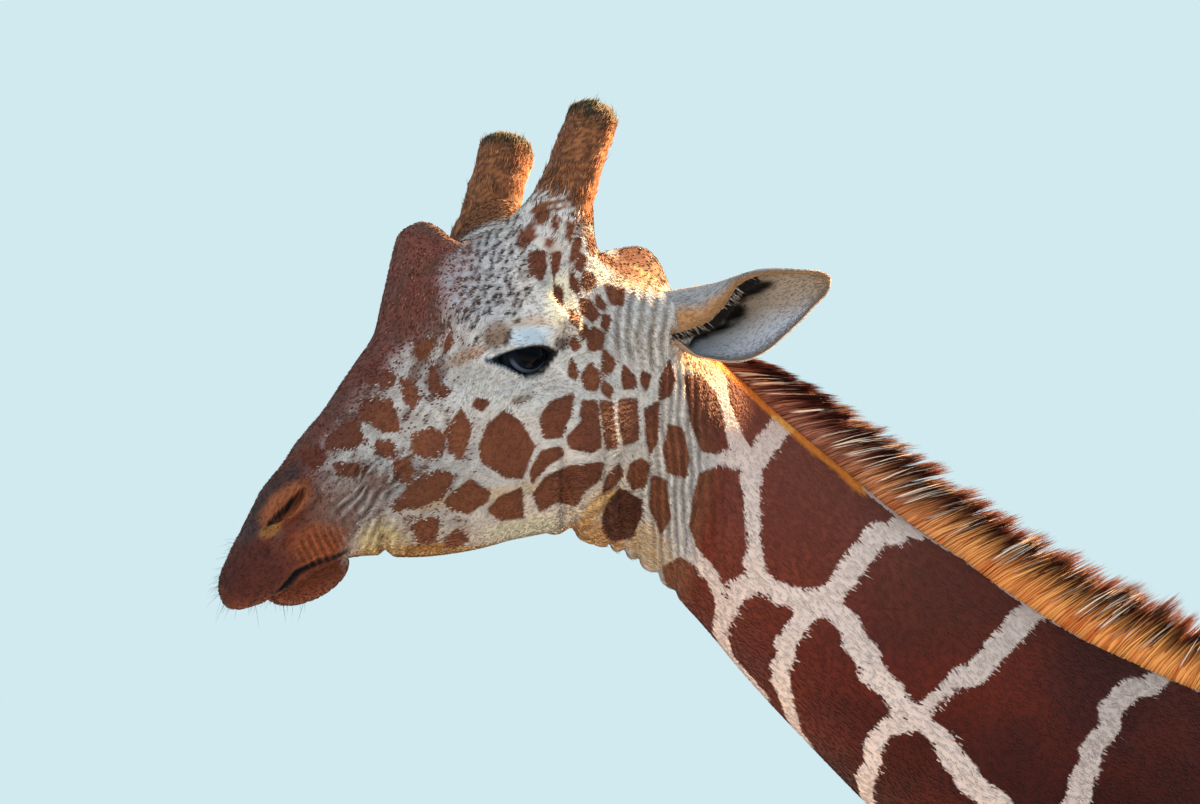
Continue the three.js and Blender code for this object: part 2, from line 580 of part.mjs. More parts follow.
const removed = [
  makeMouthSlit(),
  ...bothSides(ball(EYE.radius + GAP)),
  ...bothSides(makeLidOpening()),
  ...bothSides(egg(atNostril(NOSTRIL.slitOut), NOSTRIL.slit, NOSTRIL.slitSlope, 12)),
];
const straight = removed.reduce((solid, cut) => solid.subtract(cut), joined([makeTrunk(), ...added]));

// ---------------------------------------------------------------- the turn, and the cuts across the trunk
const onHead = (solid) => reshaped(solid, (p) => turned(p, true));

/** The plane across the trunk at station s, for a place where the head's turn has this share. */
function across(s, share = 0) {
  const t = s / (SECTIONS.length - 1);
  const [top, bottom] = [TOP_LINE, BOTTOM_LINE].map((line) => line.getPoint(t));
  const up = top.clone().sub(bottom).normalize();
  const normal = new THREE.Vector3(up.z, 0, -up.x);
  normal.applyAxisAngle(new THREE.Vector3(0, 0, 1), THREE.MathUtils.degToRad(TURN.angle) * share);
  return [turned(top.lerp(bottom, 0.5)), normal];
}
const [head, behindHead] = parted(reshaped(straight, turned), ...across(HEAD_TO_NECK, 0.8));
const [neckUpper, behindNeck] = parted(behindHead, ...across(NECK_MIDDLE));
const [neckLower, body] = parted(behindNeck, ...across(NECK_TO_TORSO));
Object.assign(nodes, {
  head,
  eye_left: onHead(ball(EYE.radius)),
  eye_right: onHead(mirrored(ball(EYE.radius))),
  ossicone_left: onHead(hornLeft),
  ossicone_right: onHead(mirrored(hornRight)),
  ear_left: onHead(earCup),
  ear_right: onHead(mirrored(earCup)),
  neck_upper: neckUpper,
  neck_lower: neckLower,
});

// The mane stands on the crest, and is parted where the neck is.
const hairless = reshaped(makeTrunk(GAP), turned);
const mane = reshaped(makeMane(), turned).subtract(hairless);
const [belowUpper, maneUpper] = parted(mane, ...acrossMane(NECK_MIDDLE));
const [maneLower, maneMiddle] = parted(belowUpper, ...acrossMane(NECK_TO_TORSO));
Object.assign(nodes, { mane_upper: maneUpper, mane_middle: maneMiddle, mane_lower: maneLower });

// ---------------------------------------------------------------- the legs join the body, and are parted by one level cut
let standing = body;
const feet = [];
for (const [which, rings] of [["fore", FORELEG], ["hind", HINDLEG]])
  for (const side of ["left", "right"]) {
    const step = STRIDE[which][side];
    const leg = makeLeg(rings, step).subtract(makeCleft(rings, step));
    standing = standing.add(side === "left" ? leg : mirrored(leg));
    feet.push({ leg: `${which}leg_${side}`, hoof: `hoof_${which}_${side}`, fore: which === "fore", left: side === "left" });
  }
const up = new THREE.Vector3(0, 0, 1);
const torso = largest(standing.trimByPlane([0, 0, 1], LEG_TOP + GAP / 2));
const legs = standing.trimByPlane([0, 0, -1], -LEG_TOP + GAP / 2).decompose();
for (const { leg, hoof, fore, left } of feet) {
  const solid = legs.find((l) => {
    const { min, max } = l.boundingBox();
    return (min[0] + max[0] > -1000) === fore && (min[1] + max[1] > 0) === left;
  });
  [nodes[leg], nodes[hoof]] = parted(solid, new THREE.Vector3(0, 0, CORONET), up);
}

const [tailRoot, tail] = parted(makeTail(), inPlane(TAIL.cut), new THREE.Vector3(0.97, 0, 0.25));
nodes.torso = largest(torso.add(tailRoot));
nodes.tail = beyond(tail, inPlane(TUFT.top), up);
nodes.tail_tuft = beyond(makeTuft(), inPlane(TUFT.top), up.clone().negate());

// ---------------------------------------------------------------- materials and the group
const COAT = new THREE.MeshStandardMaterial({ color: 0x7a3f24, roughness: 0.85, metalness: 0 });
const HORN_HAIR = new THREE.MeshStandardMaterial({ color: 0x6a3a1e, roughness: 0.9, metalness: 0 });
const EAR_HAIR = new THREE.MeshStandardMaterial({ color: 0xc9c2b8, roughness: 0.85, metalness: 0 });
const MANE_HAIR = new THREE.MeshStandardMaterial({ color: 0x6b2f18, roughness: 0.8, metalness: 0 });
const TAIL_HAIR = new THREE.MeshStandardMaterial({ color: 0x17110e, roughness: 0.7, metalness: 0 });
const EYE_GLOSS = new THREE.MeshStandardMaterial({ color: 0x0b0a0c, roughness: 0.08, metalness: 0 });
const HOOF_HORN = new THREE.MeshStandardMaterial({ color: 0x3a2f28, roughness: 0.6, metalness: 0 });
const materialOf = (name) =>
  ({ eye: EYE_GLOSS, ossicone: HORN_HAIR, ear: EAR_HAIR, mane: MANE_HAIR, hoof: HOOF_HORN })[name.split("_")[0]] ??
  (name === "tail_tuft" ? TAIL_HAIR : COAT);

/** A named three.js mesh of a solid. */
function meshOf(name, solid) {
  const { numProp, vertProperties, triVerts } = solid.getMesh();
  const points = [];
  for (let i = 0; i < vertProperties.length; i += numProp)
    points.push(new THREE.Vector3(vertProperties[i], vertProperties[i + 1], vertProperties[i + 2]));
  const geometry = new THREE.BufferGeometry().setFromPoints(points).setIndex([...triVerts]);
  geometry.computeVertexNormals();
  const mesh = new THREE.Mesh(geometry, materialOf(name));
  mesh.name = name;
  return mesh;
}

const giraffe = new THREE.Group();
for (const [name, solid] of Object.entries(nodes)) giraffe.add(meshOf(name, solid));

// The middle of the footprint of the whole animal, on the floor, is the origin.
const { min, max } = new THREE.Box3().setFromObject(giraffe);
for (const { geometry } of giraffe.children) geometry.translate(-(min.x + max.x) / 2, -(min.y + max.y) / 2, -min.z);
export default giraffe;
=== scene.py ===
"""A standing reticulated giraffe bull, life size: skin, coat, horns, ears, eyes, mane, tail and hooves.

The body is worked out straight and alike on both sides, in millimetres, with +X forward, +Y to the
animal's left and +Z up. The head is turned at the very end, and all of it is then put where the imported
solids are, in metres.
"""
import logging
import math
from dataclasses import dataclass, field
from enum import Enum
from typing import Any, Sequence

import bpy
import numpy as np
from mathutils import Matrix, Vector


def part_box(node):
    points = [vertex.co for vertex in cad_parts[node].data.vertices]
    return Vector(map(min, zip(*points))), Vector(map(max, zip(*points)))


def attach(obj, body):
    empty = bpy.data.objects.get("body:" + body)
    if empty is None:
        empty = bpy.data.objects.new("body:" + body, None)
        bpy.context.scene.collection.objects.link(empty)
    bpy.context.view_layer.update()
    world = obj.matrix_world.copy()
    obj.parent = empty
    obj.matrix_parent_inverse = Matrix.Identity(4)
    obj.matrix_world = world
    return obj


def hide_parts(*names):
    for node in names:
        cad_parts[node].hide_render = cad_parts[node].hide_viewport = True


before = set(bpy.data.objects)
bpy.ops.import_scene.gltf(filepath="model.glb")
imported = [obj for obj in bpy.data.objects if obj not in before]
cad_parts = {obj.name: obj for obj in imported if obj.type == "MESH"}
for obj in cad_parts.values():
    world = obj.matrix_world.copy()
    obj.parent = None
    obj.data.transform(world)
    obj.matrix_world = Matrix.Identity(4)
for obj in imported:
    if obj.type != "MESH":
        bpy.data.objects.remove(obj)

Array = np.ndarray
join = np.concatenate  # arrays one after another
Pair = tuple[float, float]
Triple = tuple[float, float, float]
log = logging.getLogger("giraffe")
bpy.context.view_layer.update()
EYE_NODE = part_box("eye_left")


# ---------------------------------------------------------------- small tools
def ramp(low: float, high: float, value: Array) -> Array:
    """A smooth rise from 0 at low to 1 at high, also where low is the greater."""
    t = np.clip((value - low) / (high - low), 0.0, 1.0)
    return t * t * (3 - 2 * t)


def hill(distance: Array, reach: float) -> Array:
    """A bell: 1 at no distance, falling with the square of distance over reach."""
    return np.exp(-((distance / reach) ** 2))


def bell(a: Array, b: Array, at: Pair, half: Pair) -> Array:
    """A hill over two coordinates, with its own reach along each."""
    return np.exp(-(((a - at[0]) / half[0]) ** 2) - ((b - at[1]) / half[1]) ** 2)


def stack(*parts: Array) -> Array:
    """Arrays side by side, along a new last axis."""
    return np.stack(parts, -1)


def headward(p: Array) -> Array:
    """How far points of the straight animal are along the slope of the neck, in mm."""
    return p[..., 0] * 0.77 + p[..., 2] * 0.64


def soft_max(a: Array, b: Array, k: float) -> Array:
    """The greater of a and b, rounded where they are within about k of each other."""
    return 0.5 * (a + b + np.sqrt((a - b) ** 2 + k * k))


def unit(v: Array) -> Array:
    """Vectors of length 1 along v."""
    return v / np.maximum(np.linalg.norm(v, axis=-1, keepdims=True), 1e-9)


def catmull(points: Array, t: Array) -> Array:
    """Centripetal Catmull-Rom curve through the points, at t from 0 to 1.

    Args:
        points: the points (n, d) that the curve passes.
        t: shares of the way, equal steps from point to point.

    Returns:
        The curve's points, of shape t.shape + (d,).
    """
    points = np.asarray(points, float)
    n = len(points)
    padded = np.vstack([2 * points[0] - points[1], points, 2 * points[-1] - points[-2]])
    place = np.clip(t, 0, 1) * (n - 1)
    i = np.minimum(place.astype(int), n - 2)
    w = (place - i)[..., None]
    p0, p1, p2, p3 = (padded[i + k] for k in range(4))
    d0, d1, d2 = (np.sqrt(np.linalg.norm(b - a, axis=-1, keepdims=True))
                  for a, b in ((p0, p1), (p1, p2), (p2, p3)))
    d1 = np.where(d1 < 1e-4, 1.0, d1)
    d0 = np.where(d0 < 1e-4, d1, d0)
    d2 = np.where(d2 < 1e-4, d1, d2)
    m1 = ((p1 - p0) / d0 - (p2 - p0) / (d0 + d1) + (p2 - p1) / d1) * d1
    m2 = ((p2 - p1) / d1 - (p3 - p1) / (d1 + d2) + (p3 - p2) / d2) * d1
    return p1 + m1 * w + (3 * (p2 - p1) - 2 * m1 - m2) * w**2 + (2 * (p1 - p2) + m1 + m2) * w**3


def along(values: Sequence[float], t: Array) -> Array:
    """A value read along equally spaced control values, t from 0 to 1."""
    points = np.stack([np.asarray(values, float), np.zeros(len(values))], 1)
    return catmull(points, np.asarray(t, float))[..., 0]


def hashed(cells: Array, salt: int) -> Array:
    """A repeatable draw from 0 to 1 for each cell.

    Args:
        cells: whole numbers (..., 3).
        salt: a number that tells one set of draws from another.

    Returns:
        The draws (...).
    """
    h = cells[..., 0] * 374761393 + cells[..., 1] * 668265263 + cells[..., 2] * 2147483647 + salt * 1274126177
    h = (h ^ (h >> 13)) * 1274126177 & 0xFFFFFFFF
    return ((h ^ (h >> 16)) & 0xFFFFFF) / float(0x1000000)


def noise(points: Array, size: float, salt: int = 0) -> Array:
    """Smooth value noise: draws at the corners of cubes, blended between.

    Args:
        points: where it is read (..., 3).
        size: the cubes' edge.
        salt: a number that tells one field from another.

    Returns:
        Values (...) from -1 to 1.
    """
    q = points / size
    base = np.floor(q).astype(np.int64)
    f = q - base
    f = f * f * (3 - 2 * f)
    total = np.zeros(points.shape[:-1])
    for corner in np.ndindex(2, 2, 2):
        share = np.prod([f[..., k] if corner[k] else 1 - f[..., k] for k in range(3)], axis=0)
        total += share * hashed(base + np.array(corner), salt)
    return 2 * total - 1


def blend(colour: Array, share: Array, other: Array) -> Array:
    """A colour at share 0 and another at share 1."""
    return colour * (1 - share[:, None]) + other * share[:, None]


def srgb(r: float, g: float, b: float) -> tuple[float, float, float, float]:
    """Linear colour of screen values.

    Args:
        r: red from 0 to 255.
        g: green.
        b: blue.

    Returns:
        The colour, opaque.
    """
    def lin(c: float) -> float:
        """One channel made linear."""
        c /= 255
        return c / 12.92 if c <= 0.04045 else ((c + 0.055) / 1.055) ** 2.4

    return lin(r), lin(g), lin(b), 1.0


def rgb(r: float, g: float, b: float) -> Array:
    """Linear colour of screen values, as an array of three."""
    return np.array(srgb(r, g, b)[:3])


# ---------------------------------------------------------------- the build of the animal, in mm
@dataclass(frozen=True)
class Section:
    """A section of the trunk from the top line to the bottom line, as (x, z)."""

    top: Pair
    bottom: Pair
    half: float
    taper: float
    square: float


SECTIONS = (
    Section((2094, 3604), (2088, 3581), 18, 0, 1),  # lip tip
    Section((2084, 3627), (2070, 3561), 34, 0.1, 0.9),
    Section((2064, 3659), (2040, 3567), 42, 0.3, 0.85),
    Section((2036, 3694), (2006, 3592), 46, 0.42, 0.85),  # nostril
    Section((2004, 3736), (1968, 3614), 50, 0.42, 0.85),
    Section((1973, 3782), (1930, 3634), 54, 0.38, 0.85),  # mouth corner
    Section((1938, 3826), (1885, 3643), 59, 0.36, 0.88),
    Section((1904, 3871), (1812, 3646), 70, 0.36, 0.9),
    Section((1876, 3910), (1740, 3660), 86, 0.36, 0.92),
    Section((1862, 3958), (1695, 3674), 98, 0.38, 0.95),
    Section((1844, 3994), (1668, 3681), 105, 0.36, 0.92),
    Section((1800, 4014), (1644, 3687), 109, 0.26, 0.86),
    Section((1752, 4022), (1622, 3692), 112, 0.12, 0.8),  # forehead
    Section((1690, 4048), (1600, 3690), 109, 0.04, 0.72),
    Section((1610, 4032), (1578, 3686), 99, 0.06, 0.8),
    Section((1530, 4006), (1554, 3680), 92, 0.1, 0.95),  # poll
    Section((1468, 3960), (1528, 3672), 92, 0.16, 1),
    Section((1412, 3904), (1494, 3648), 92, 0.22, 1),
    Section((1340, 3831), (1448, 3600), 92, 0.26, 1),
    Section((1230, 3742), (1383, 3522), 96, 0.28, 1),
    Section((1090, 3637), (1288, 3420), 102, 0.28, 1),
    Section((930, 3544), (1166, 3294), 112, 0.28, 1),
    Section((760, 3478), (1032, 3148), 126, 0.28, 1),
    Section((580, 3404), (896, 2980), 144, 0.28, 1),
    Section((400, 3318), (768, 2796), 168, 0.28, 1),
    Section((230, 3230), (658, 2606), 200, 0.32, 1),
    Section((70, 3160), (566, 2404), 236, 0.36, 0.98),
    Section((-80, 3108), (444, 2164), 268, 0.4, 0.95),  # withers
    Section((-230, 3032), (246, 1980), 296, 0.36, 0.92),
    Section((-400, 2932), (-40, 1898), 322, 0.26, 0.9),
    Section((-600, 2840), (-370, 1888), 338, 0.2, 0.9),
    Section((-800, 2766), (-680, 1934), 328, 0.16, 0.9),
    Section((-980, 2700), (-930, 2010), 300, 0.12, 0.92),
    Section((-1130, 2622), (-1120, 2084), 280, 0.1, 0.92),
    Section((-1262, 2512), (-1258, 2160), 236, 0.05, 0.92),
    Section((-1352, 2410), (-1350, 2240), 150, 0.0, 1),
    Section((-1396, 2350), (-1394, 2300), 46, 0.0, 1),  # tail head
)
HEAD_STATIONS = 18.0  # the head ends here, and coarser rings begin
CHEST_STATION = 26.0  # rings are closer together before this than behind it


@dataclass(frozen=True)
class Swell:
    """A soft swelling of the side: centre and reach as (x, z), and the way outward."""

    centre: Pair
    reach: Pair
    out: float


SWELLS = (
    Swell((1702, 3922), (42, 32), 18),  # brow ridge
    Swell((1682, 4000), (46, 40), 20),  # root of the horn
    Swell((1775, 3812), (90, 26), 9),  # cheek bone
    Swell((1655, 3775), (62, 66), 12),  # jaw muscle
    Swell((1816, 3872), (36, 28), -8),  # hollow before the eye
    Swell((1640, 3930), (34, 40), -7),  # temple
    Swell((1905, 3765), (62, 46), -8),  # side of the nose
    Swell((1575, 3935), (50, 46), 10),  # root of the ear
    Swell((1440, 3840), (90, 70), 12),  # atlas wing
    Swell((1330, 3600), (200, 60), -6),  # beside the windpipe
    Swell((1745, 3884), (62, 50), 9),  # orbit
    Swell((200, 2300), (210, 380), 66),  # shoulder
    Swell((-90, 2330), (90, 340), -22),  # behind the shoulder
    Swell((-900, 2400), (130, 190), -30),  # flank hollow
    Swell((-1120, 2270), (200, 290), 62),  # haunch
)


@dataclass(frozen=True)
class Bump:
    """A bump that rises from the surface: centre, reach and push as (x, y, z), alike on both sides."""

    centre: Triple
    reach: Triple
    push: Triple


BUMPS = (
    Bump((1814, 0, 4008), (40, 44, 48), (8, 0, 31)),  # brow bump
    Bump((1842, 0, 4020), (14, 34, 18), (4, 0, 4)),
    Bump((1784, 0, 4034), (18, 50, 26), (0, 0, -11)),
    Bump((2026, 0, 3704), (34, 34, 34), (3, 0, 3)),  # over the nostrils
    Bump((2090, 0, 3600), (20, 40, 30), (-3, 0, 0)),
    Bump((1950, 0, 3806), (40, 60, 40), (-3, 0, -2)),  # bridge of the nose
    Bump((2068, 0, 3562), (22, 40, 20), (1, 0, -5)),  # upper lip
    Bump((1594, 0, 4022), (18, 44, 26), (0, 0, -5)),
    Bump((1494, 0, 4006), (17, 44, 28), (-5, 0, 3)),
    Bump((1522, 0, 4002), (44, 48, 50), (-15, 0, 35)),  # poll knob
    Bump((1584, 92, 3936), (44, 60, 46), (-4, 22, 2)),  # ear base
    Bump((1688, 74, 4022), (50, 44, 50), (2, 16, 18)),  # horn base
)


@dataclass(frozen=True)
class Ring:
    """A ring of a leg: height, centre x, half depth, half width and centre y."""

    z: float
    x: float
    deep: float
    wide: float
    y: float


FORELEG = (
    Ring(2450, 250, 120, 60, 160), Ring(2180, 214, 166, 100, 206), Ring(1920, 150, 140, 92, 204),
    Ring(1740, 134, 112, 80, 194), Ring(1420, 136, 86, 66, 186), Ring(1160, 142, 68, 58, 184),
    Ring(1030, 152, 76, 66, 184), Ring(900, 140, 58, 53, 184), Ring(620, 132, 48, 43, 184),
    Ring(390, 130, 49, 45, 184), Ring(290, 128, 66, 58, 184), Ring(205, 150, 56, 54, 184),
    Ring(142, 172, 78, 70, 184), Ring(64, 190, 98, 80, 184), Ring(0, 204, 112, 86, 184),
)
HINDLEG = (
    Ring(2420, -1120, 150, 70, 140), Ring(2180, -1096, 226, 118, 178), Ring(1960, -1066, 196, 104, 190),
    Ring(1780, -1060, 156, 88, 190), Ring(1550, -1112, 112, 68, 184), Ring(1300, -1186, 78, 54, 180),
    Ring(1130, -1246, 74, 50, 178), Ring(1020, -1258, 82, 56, 178), Ring(890, -1232, 60, 49, 178),
    Ring(620, -1208, 49, 43, 178), Ring(390, -1198, 49, 45, 178), Ring(290, -1196, 64, 57, 178),
    Ring(205, -1174, 55, 53, 178), Ring(142, -1154, 76, 68, 178), Ring(64, -1138, 94, 78, 178),
    Ring(0, -1126, 106, 83, 178),
)
LEG_TOP = 1800.0
CORONET = 134.0


class Side(Enum):
    """A side of the animal, whose value is the sign of Y there."""

    LEFT = 1
    RIGHT = -1


class Limb(Enum):
    """A pair of legs, under the name that its solids bear."""

    FORE = "fore"
    HIND = "hind"


LEGS = {Limb.FORE: FORELEG, Limb.HIND: HINDLEG}
STRIDES = {  # how far the hoof stands forward of the straight leg's
    (Limb.FORE, Side.LEFT): 60.0, (Limb.FORE, Side.RIGHT): -50.0,
    (Limb.HIND, Side.LEFT): -60.0, (Limb.HIND, Side.RIGHT): 70.0,
}
TAIL_PATH = ((-1370, 2336), (-1432, 2322), (-1474, 2220), (-1482, 2030), (-1476, 1800), (-1468, 1570))
TAIL_RADII = (46, 40, 31, 25, 20, 17)

TURN_ANGLE = math.radians(33)
TURN_PIVOT = 1487.0
PIVOT = np.array([TURN_PIVOT, 0.0, 0.0])


def turned(p: Array, whole: bool = False) -> Array:
    """The head's turn: each point turned about the upright axis, none at the neck and full at the head.

    Args:
        p: points (..., 3) of the straight animal.
        whole: the full turn everywhere, for what sits on the head.

    Returns:
        The turned points.
    """
    share = 1.0 if whole else ramp(3440, 3660, headward(p))
    c, s = np.cos(TURN_ANGLE * share), np.sin(TURN_ANGLE * share)
    x, y = p[..., 0] - TURN_PIVOT, p[..., 1]
    return stack(TURN_PIVOT + x * c - y * s, x * s + y * c, p[..., 2])


EYE_AT = np.array([1736.0, 88.0, 3880.0])
SHIFT = turned(EYE_AT, True) - 500.0 * (np.array(EYE_NODE[0]) + np.array(EYE_NODE[1]))


def placed(p: Array) -> Array:
    """Points of the turned animal in mm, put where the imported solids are, in metres."""
    return (p - SHIFT) / 1000.0


AIM = np.array([1557.3, 0.0, 3856.4])
TILT = math.radians(9)
BACK = np.array([0.0, math.cos(TILT), -math.sin(TILT)])
AWAY = 22000.0
SCALE = 1.165  # mm to a step of the framing, at the aim
FRAME = (1200, 804)
SENSOR = 36.0


def pictured(p: Array) -> Array:
    """Where points stand in the framing.

    Args:
        p: points (..., 3) of the turned animal.

    Returns:
        Across and down (..., 2) in a frame of 1200 by 804.
    """
    off = p - AIM
    grow = AWAY / (AWAY - off @ BACK) / SCALE
    up = off[..., 2] * math.cos(TILT) + off[..., 1] * math.sin(TILT)
    return stack(FRAME[0] / 2 - off[..., 0] * grow, FRAME[1] / 2 - up * grow)


# ---------------------------------------------------------------- meshes
def store(mesh: Any, values: dict[str, Array]) -> None:
    """Stores values or vectors at a mesh's points, and those named OFBake as a map of its corners.

    Args:
        mesh: the mesh.
        values: (n,) or (n, 3) of each name, and (n, 2) for the map.
    """
    for key, value in values.items():
        if key == "OFBake":
            index = np.zeros(len(mesh.loops), np.int32)
            mesh.loops.foreach_get("vertex_index", index)
            data, word, value = mesh.uv_layers.new(name=key).data, "uv", value[index]
        else:
            kind, word = ("FLOAT", "value") if value.ndim == 1 else ("FLOAT_VECTOR", "vector")
            data = mesh.attributes.new(key, kind, "POINT").data
        data.foreach_set(word, value.astype(np.float32).reshape(-1))


class Piece:
    """A mesh piece of the finished model, gathered as whole arrays in mm."""

    def __init__(self, name: str) -> None:
        """Starts an empty piece of the given name."""
        self.name = name
        self.points: list[Array] = []
        self.faces: list[Array] = []
        self.values: dict[str, list[Array]] = {}
        self.count = 0

    def add(self, points: Array, faces: Array, **values: Array) -> None:
        """Adds points with their faces.

        Args:
            points: the points (n, 3).
            faces: their numbers round each face (m, 3 or 4).
            values: a value or vector of each name at every point.
        """
        self.points.append(points)
        self.faces.append(faces + self.count)
        for key, value in values.items():
            self.values.setdefault(key, []).append(value)
        self.count += len(points)

    def build(self, material: Any = None) -> Any:
        """Makes the Blender object, its named values as attributes.

        Args:
            material: what it is dressed in, if anything.

        Returns:
            The object.
        """
        points = join(self.points)
        loops = join([f.reshape(-1) for f in self.faces])
        sizes = join([np.full(len(f), f.shape[1]) for f in self.faces])
        mesh = bpy.data.meshes.new(self.name)
        mesh.vertices.add(len(points))
        mesh.vertices.foreach_set("co", placed(points).astype(np.float32).reshape(-1))
        mesh.loops.add(len(loops))
        mesh.loops.foreach_set("vertex_index", loops.astype(np.int32))
        mesh.polygons.add(len(sizes))
        mesh.polygons.foreach_set("loop_start", join([[0], np.cumsum(sizes)[:-1]]).astype(np.int32))
        mesh.update(calc_edges=True)
        mesh.validate()
        mesh.polygons.foreach_set("use_smooth", np.ones(len(mesh.polygons), bool))
        store(mesh, {key: join(parts) for key, parts in self.values.items()})
        if material:
            mesh.materials.append(material)
        thing = bpy.data.objects.new(self.name, mesh)
        bpy.context.scene.collection.objects.link(thing)
        return thing


def grid_faces(rows: int, columns: int, round_: bool = True) -> Array:
    """The quads of a grid of points.

    Args:
        rows: points down the grid.
        columns: points across it.
        round_: whether the last column is joined to the first.

    Returns:
        Point numbers (n, 4).
    """
    r, c = np.meshgrid(np.arange(rows - 1), np.arange(columns if round_ else columns - 1), indexing="ij")
    d = (c + 1) % columns
    r, below = r * columns, (r + 1) * columns
    return stack(r + c, r + d, below + d, below + c).reshape(-1, 4)


def fan(ring: Array, centre: int, flip: bool = False) -> Array:
    """The triangles from a ring to a centre point.

    Args:
        ring: the ring's point numbers.
        centre: the centre's point number.
        flip: whether they face the other way.

    Returns:
        Point numbers (n, 3).
    """
    other = np.roll(ring, -1)
    hub = np.full(len(ring), centre)
    return np.stack([other, ring, hub] if flip else [ring, other, hub], -1)


def closed_tube(piece: Piece, rings: Array, **values: Array) -> None:
    """Adds a skin over rings (rows, columns, 3), with a point closing each end, facing outward.

    Args:
        piece: the piece that it joins.
        rings: the rings' points.
        values: values at the rings' points, (rows, columns) or (rows, columns, k).
    """
    rows, columns = rings.shape[:2]
    ends = np.stack([rings[0].mean(0), rings[-1].mean(0)])
    points = join([rings.reshape(-1, 3), ends])
    first, last = np.arange(columns), (rows - 1) * columns + np.arange(columns)
    n = rows * columns
    quads = grid_faces(rows, columns)
    caps = join([fan(first, n, True), fan(last, n + 1)])
    a, b, c = points[quads[:, 0]], points[quads[:, 1]], points[quads[:, 3]]
    outward = np.einsum("ij,ij->i", np.cross(b - a, c - a), a - rings.mean(1)[quads[:, 0] // columns]).sum()
    if outward < 0:
        quads, caps = quads[:, ::-1], caps[:, ::-1]
    full = {k: join([v.reshape(n, *v.shape[2:]), np.stack([v[0].mean(0), v[-1].mean(0)])])
            for k, v in values.items()}
    piece.add(points, quads, **full)
    piece.faces.append(caps + piece.count - len(points))


# ---------------------------------------------------------------- the trunk's surface
TOPS = np.array([s.top for s in SECTIONS], float)
BOTTOMS = np.array([s.bottom for s in SECTIONS], float)
FORMS = np.array([(s.half, s.taper * 100, s.square * 100) for s in SECTIONS], float)
LAST = len(SECTIONS) - 1
RIDGE = ((15.8, 16.3, 17.0, 17.5, 18.0, 18.6, 19.0, 19.3, 19.7, 20.15, 20.6, 21.0, 21.5, 24.0, 26.0),
         (0.0, 2.0, 6.5, 8.5, 7.0, 5.0, 2.0, 2.0, 7.0, 4.5, 3.5, 7.0, 6.0, 4.0, 0.0))  # rise under the mane


def ridged(s: Array, v: Array) -> Array:
    """How far the skin rises under the mane: read along the neck, falling off as a bell from the top."""
    return np.interp(s, *RIDGE) * hill(np.minimum(v, 2 * np.pi - v), 0.45)


def trunk_point(s: Array, v: Array, grow: Array | float = 0.0) -> Array:
    """The trunk's surface.

    A section runs from the top line to the bottom line; around it the rise is the cosine of v and the
    way out its sine, each to the section's power; swellings and bumps push the surface out.

    Args:
        s: stations, from 0 at the lips to 36 at the tail.
        v: angles from the top, towards the left.
        grow: how far the surface is moved out.

    Returns:
        Points (..., 3) of the straight animal in mm.
    """
    s, v = np.broadcast_arrays(np.asarray(s, float), np.asarray(v, float))
    t = s / LAST
    top, bottom, form = catmull(TOPS, t), catmull(BOTTOMS, t), catmull(FORMS, t)
    half, taper, square = form[..., 0], form[..., 1] / 100, form[..., 2] / 100
    rise = np.sign(np.cos(v)) * np.abs(np.cos(v)) ** square
    out = np.sign(np.sin(v)) * np.abs(np.sin(v)) ** square
    xz = bottom + (top - bottom) * (0.5 + rise / 2)[..., None]
    y = half * out * (1 - taper * rise)
    for swell in SWELLS:
        d = (xz - np.array(swell.centre)) / np.array(swell.reach)
        y = y + out * swell.out * np.exp(-(d**2).sum(-1))
    p = stack(xz[..., 0], y, xz[..., 1])
    for bump in BUMPS:
        off = stack(p[..., 0], np.abs(p[..., 1]), p[..., 2]) - np.array(bump.centre)
        share = np.exp(-((off / np.array(bump.reach)) ** 2).sum(-1))
        dx, dy, dz = bump.push
        push = stack(np.full_like(y, dx), np.sign(out) * dy, np.full_like(y, dz))
        p = p + push * share[..., None]
    up = unit(top - bottom)
    p[..., 1] += grow * out
    p[..., 0] += up[..., 0] * grow * rise
    p[..., 2] += up[..., 1] * grow * rise
    return p


def to_line(x: Array, z: Array, line: Sequence[Pair]) -> tuple[Array, Array]:
    """How far points of a plane are from a line.

    Args:
        x: the points' first coordinate.
        z: their second.
        line: the line's own points.

    Returns:
        The distances, and the shares of the way along the line where it is nearest.
    """
    best, where = np.full(x.shape, 1e9), np.zeros(x.shape)
    for k, (a, b) in enumerate(zip(line[:-1], line[1:])):
        dx, dz = b[0] - a[0], b[1] - a[1]
        t = np.clip(((x - a[0]) * dx + (z - a[1]) * dz) / (dx * dx + dz * dz), 0, 1)
        d = np.hypot(x - a[0] - t * dx, z - a[1] - t * dz)
        where = np.where(d < best, (k + t) / (len(line) - 1), where)
        best = np.minimum(best, d)
    return best, where


BALL_COVER = 34.0  # reach of the lids' dome from the middle of the eye
EYE_BACK, EYE_FRONT = (1707, 3880), (1784, 3867)  # the almond's corners in the side plane, as (x, z)
LIDS = tuple(  # its upper and lower edge, from back to front
    catmull(np.array((EYE_BACK, *between, EYE_FRONT), float), np.linspace(0, 1, 49)) for between in (
        ((1716, 3884), (1736, 3884), (1757, 3880), (1769, 3875.5)),
        ((1715, 3870), (1725, 3859), (1739, 3851.5), (1754, 3854), (1767, 3861)),
    )
)
MOUTH_LINE = ((2036, 3564), (2027, 3588), (2014, 3608), (1989, 3621), (1954, 3634), (1930, 3646))
BROW_LINE = ((1738, 3974), (1722, 3950), (1716, 3926), (1704, 3912), (1688, 3911))
CREASE_LINE = ((1768, 3884), (1757, 3902), (1742, 3910), (1722, 3913), (1709, 3905), (1704, 3894))
UNDER_LINES = (
    ((1772, 3857), (1752, 3844), (1720, 3847), (1703, 3860)),
    ((1768, 3813), (1750, 3821), (1734, 3833)),
)
NOSTRIL_LINE = ((2040, 3664), (2020, 3682), (2002, 3704))
